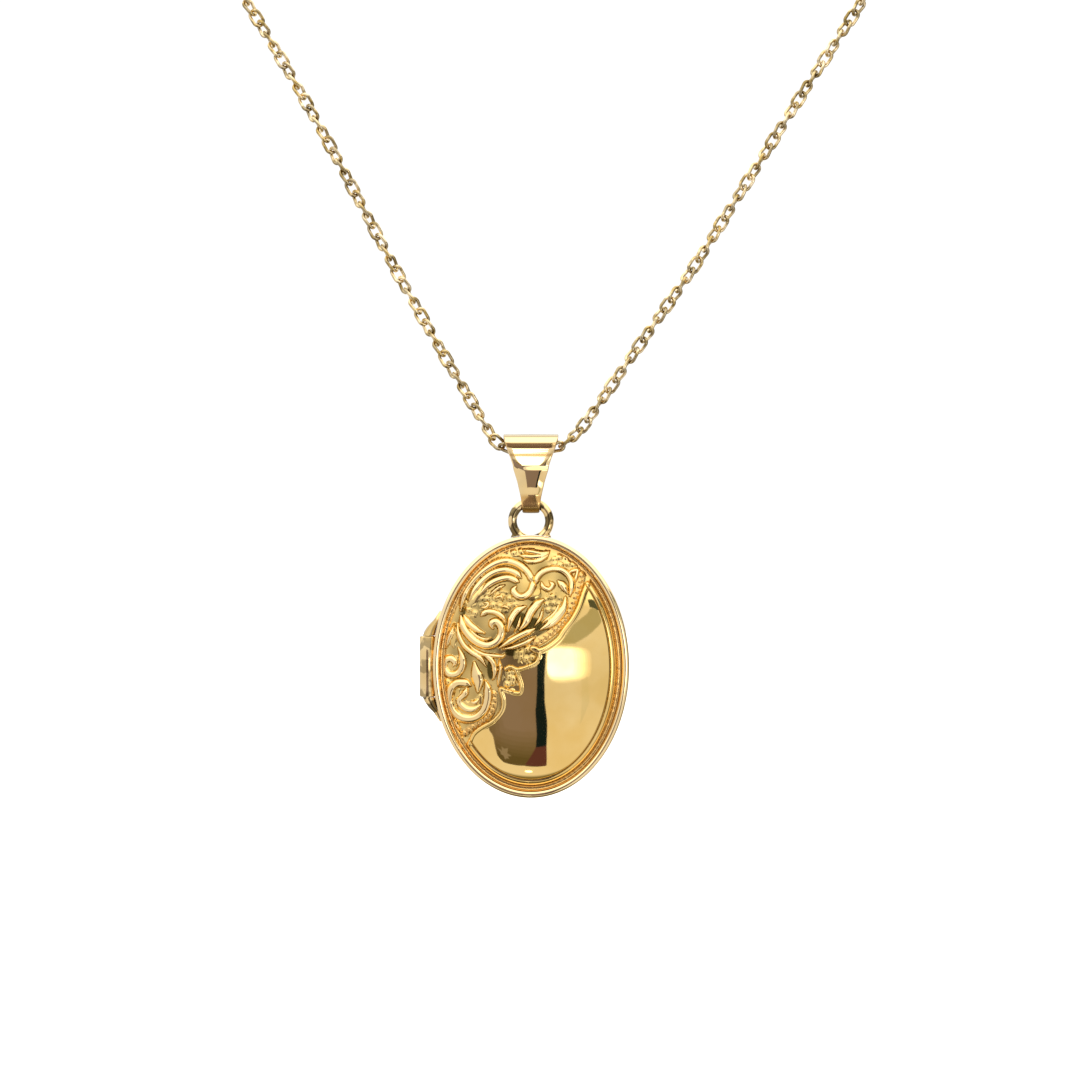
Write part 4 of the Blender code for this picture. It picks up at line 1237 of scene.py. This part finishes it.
# Bail in millimetres: half widths at heights, and middle lines seen from the side as Y and Z
STRAP_HALF_WIDTHS = (
    (1.24, 2.12), (0.75, 2.05), (0.1, 1.84), (-0.5, 1.60), (-1.1, 1.40), (-1.5, 1.33), (-2.4, 1.05),
    (-3.6, 0.78), (-4.5, 0.66)
)
STRAP_FRONT = (
    (0.0, 1.10), (-0.42, 1.03), (-0.68, 0.80), (-0.75, 0.45), (-0.75, 0.0), (-0.73, -0.50), (-0.69, -1.00),
    (-0.63, -1.45), (-0.57, -1.90), (-0.53, -2.40), (-0.53, -2.85), (-0.58, -3.40)
)
STRAP_BACK = (
    (0.0, 1.12), (0.38, 1.07), (0.74, 0.93), (0.99, 0.70), (1.09, 0.42), (1.08, 0.10), (1.02, -0.25),
    (0.94, -0.60), (0.85, -0.95), (0.76, -1.25), (0.68, -1.50), (0.58, -1.90), (0.53, -2.40), (0.52, -2.90),
    (0.56, -3.40)
)
FLAP_FRONT = (
    (0.50, 1.10), (0.0, 1.16), (-0.52, 1.12), (-0.94, 1.00), (-1.22, 0.84), (-1.38, 0.70), (-1.44, 0.56),
    (-1.445, 0.40), (-1.39, 0.20), (-1.244, -0.10), (-1.098, -0.40), (-0.952, -0.70), (-0.806, -1.00),
    (-0.689, -1.24)
)
FLAP_HALF_WIDTHS = (
    (1.2, 2.10), (0.90, 2.05), (0.53, 1.94), (-0.07, 1.73), (-0.37, 1.55), (-0.70, 1.37), (-0.92, 1.16),
    (-1.08, 0.92), (-1.17, 0.66), (-1.22, 0.42), (-1.245, 0.12)
)


def half_width_at(z, table):
    heights, widths = zip(*reversed(table))
    return float(np.interp(z, heights, widths))


def strip_section(half, half_thick, crown):
    """A strip's outline across its width: rounded edges, a crowned outer face and a flat inner one."""
    section = []
    radius = min(half_thick * 0.9, half * 0.45)
    for k in range(7):
        angle = math.radians(-90 + 30 * k)
        section.append((half - radius + radius * math.cos(angle), half_thick * math.sin(angle)))
    for share in (0.75, 0.5, 0.25, 0.0, -0.25, -0.5, -0.75):
        section.append((half * share, half_thick + crown * (1 - share * share)))
    for k in range(7):
        angle = math.radians(90 + 30 * k)
        section.append((-half + radius + radius * math.cos(angle), half_thick * math.sin(angle)))
    section += [(-half * s, -half_thick) for s in (0.5, 0.0, -0.5)]
    return section


def swept_strip(name, line, closed, half_of, half_thick, crown_of, yaw_of):
    """A strip swept along a line in the YZ plane, its width, crown and yaw set by height."""
    points = []
    count = len(line)
    for i, (y, z) in enumerate(line):
        after = line[(i + 1) % count] if closed else line[min(i + 1, count - 1)]
        before = line[i - 1] if closed else line[max(i - 1, 0)]
        ahead = (after - before) / np.linalg.norm(after - before)
        section = strip_section(half_of(z), half_thick, crown_of(y, z))
        for x, rise in section:
            points.append((x, y + ahead[1] * rise + yaw_of(y, z) * x, z - ahead[0] * rise))
    size = len(section)
    faces = grid_faces(count, size, wrap_rows=True) if closed else capped_faces(count, size)
    return mesh_object(name, points, faces)


def bail():
    """The strap: a teardrop loop over the chain, hooked under the ring, with a rounded flap in front."""
    hook = []
    for k in range(6):
        angle = math.radians(172 + 16 * k)
        hook.append((0.61 * math.cos(angle), -4.055 + 0.61 * math.sin(angle)))
    back = [(-y, z) for y, z in reversed(hook)] + list(reversed(STRAP_BACK))
    loop = list(STRAP_FRONT) + hook + [(0.0, -4.665)] + back
    line = smooth_line(loop, 0.06)[:-1]

    def leg(y, z):
        return float(np.clip((-1.2 - z) / 0.3, 0, 1) * np.clip((z + 4.0) / 0.5, 0, 1)) if y < 0 else 0.0

    made = swept_strip("strap_bail", line, True, lambda z: half_width_at(z, STRAP_HALF_WIDTHS), 0.11,
                       lambda y, z: 0.02 + 0.15 * leg(y, z), lambda y, z: -0.10 * leg(y, z))
    flap = swept_strip("flap", smooth_line(FLAP_FRONT, 0.04), False,
                       lambda z: half_width_at(z, FLAP_HALF_WIDTHS), 0.07, lambda y, z: 0.0, lambda y, z: 0.0)
    boolean(made, flap, "UNION")
    dress(made, GOLD_BAIL, 35)
    depths = np.array([v.co.y / MM for v in made.data.vertices])
    heights = np.array([v.co.z / MM for v in made.data.vertices])
    # Painted shade under the hook and along the top of the strap
    shade = 0.8 * np.clip((-4.15 - heights) / 0.35, 0, 1) + 0.62 * np.clip((heights - 0.93) / 0.05, 0, 1)
    # The flap takes a painted highlight, except in two bands where the milled tint and its roughness paint
    # softer golden reflections
    on_flap = (depths < -0.72) & (heights > -1.3)
    painted_reflection_bands = on_flap & ((np.abs(heights - 0.36) < 0.18) | (np.abs(heights + 0.38) < 0.10))
    # More orange and rougher towards the hook, softening the dark card's reflection there
    copper = 0.9 * np.clip((-3.3 - heights) / 0.3, 0, 1)
    store_amounts(made, recess=shade, bead=on_flap & ~painted_reflection_bands, milled=np.maximum(0.7 * painted_reflection_bands, copper))
    place_piece(made, "bail", "gold_fittings", "bail")


bail()
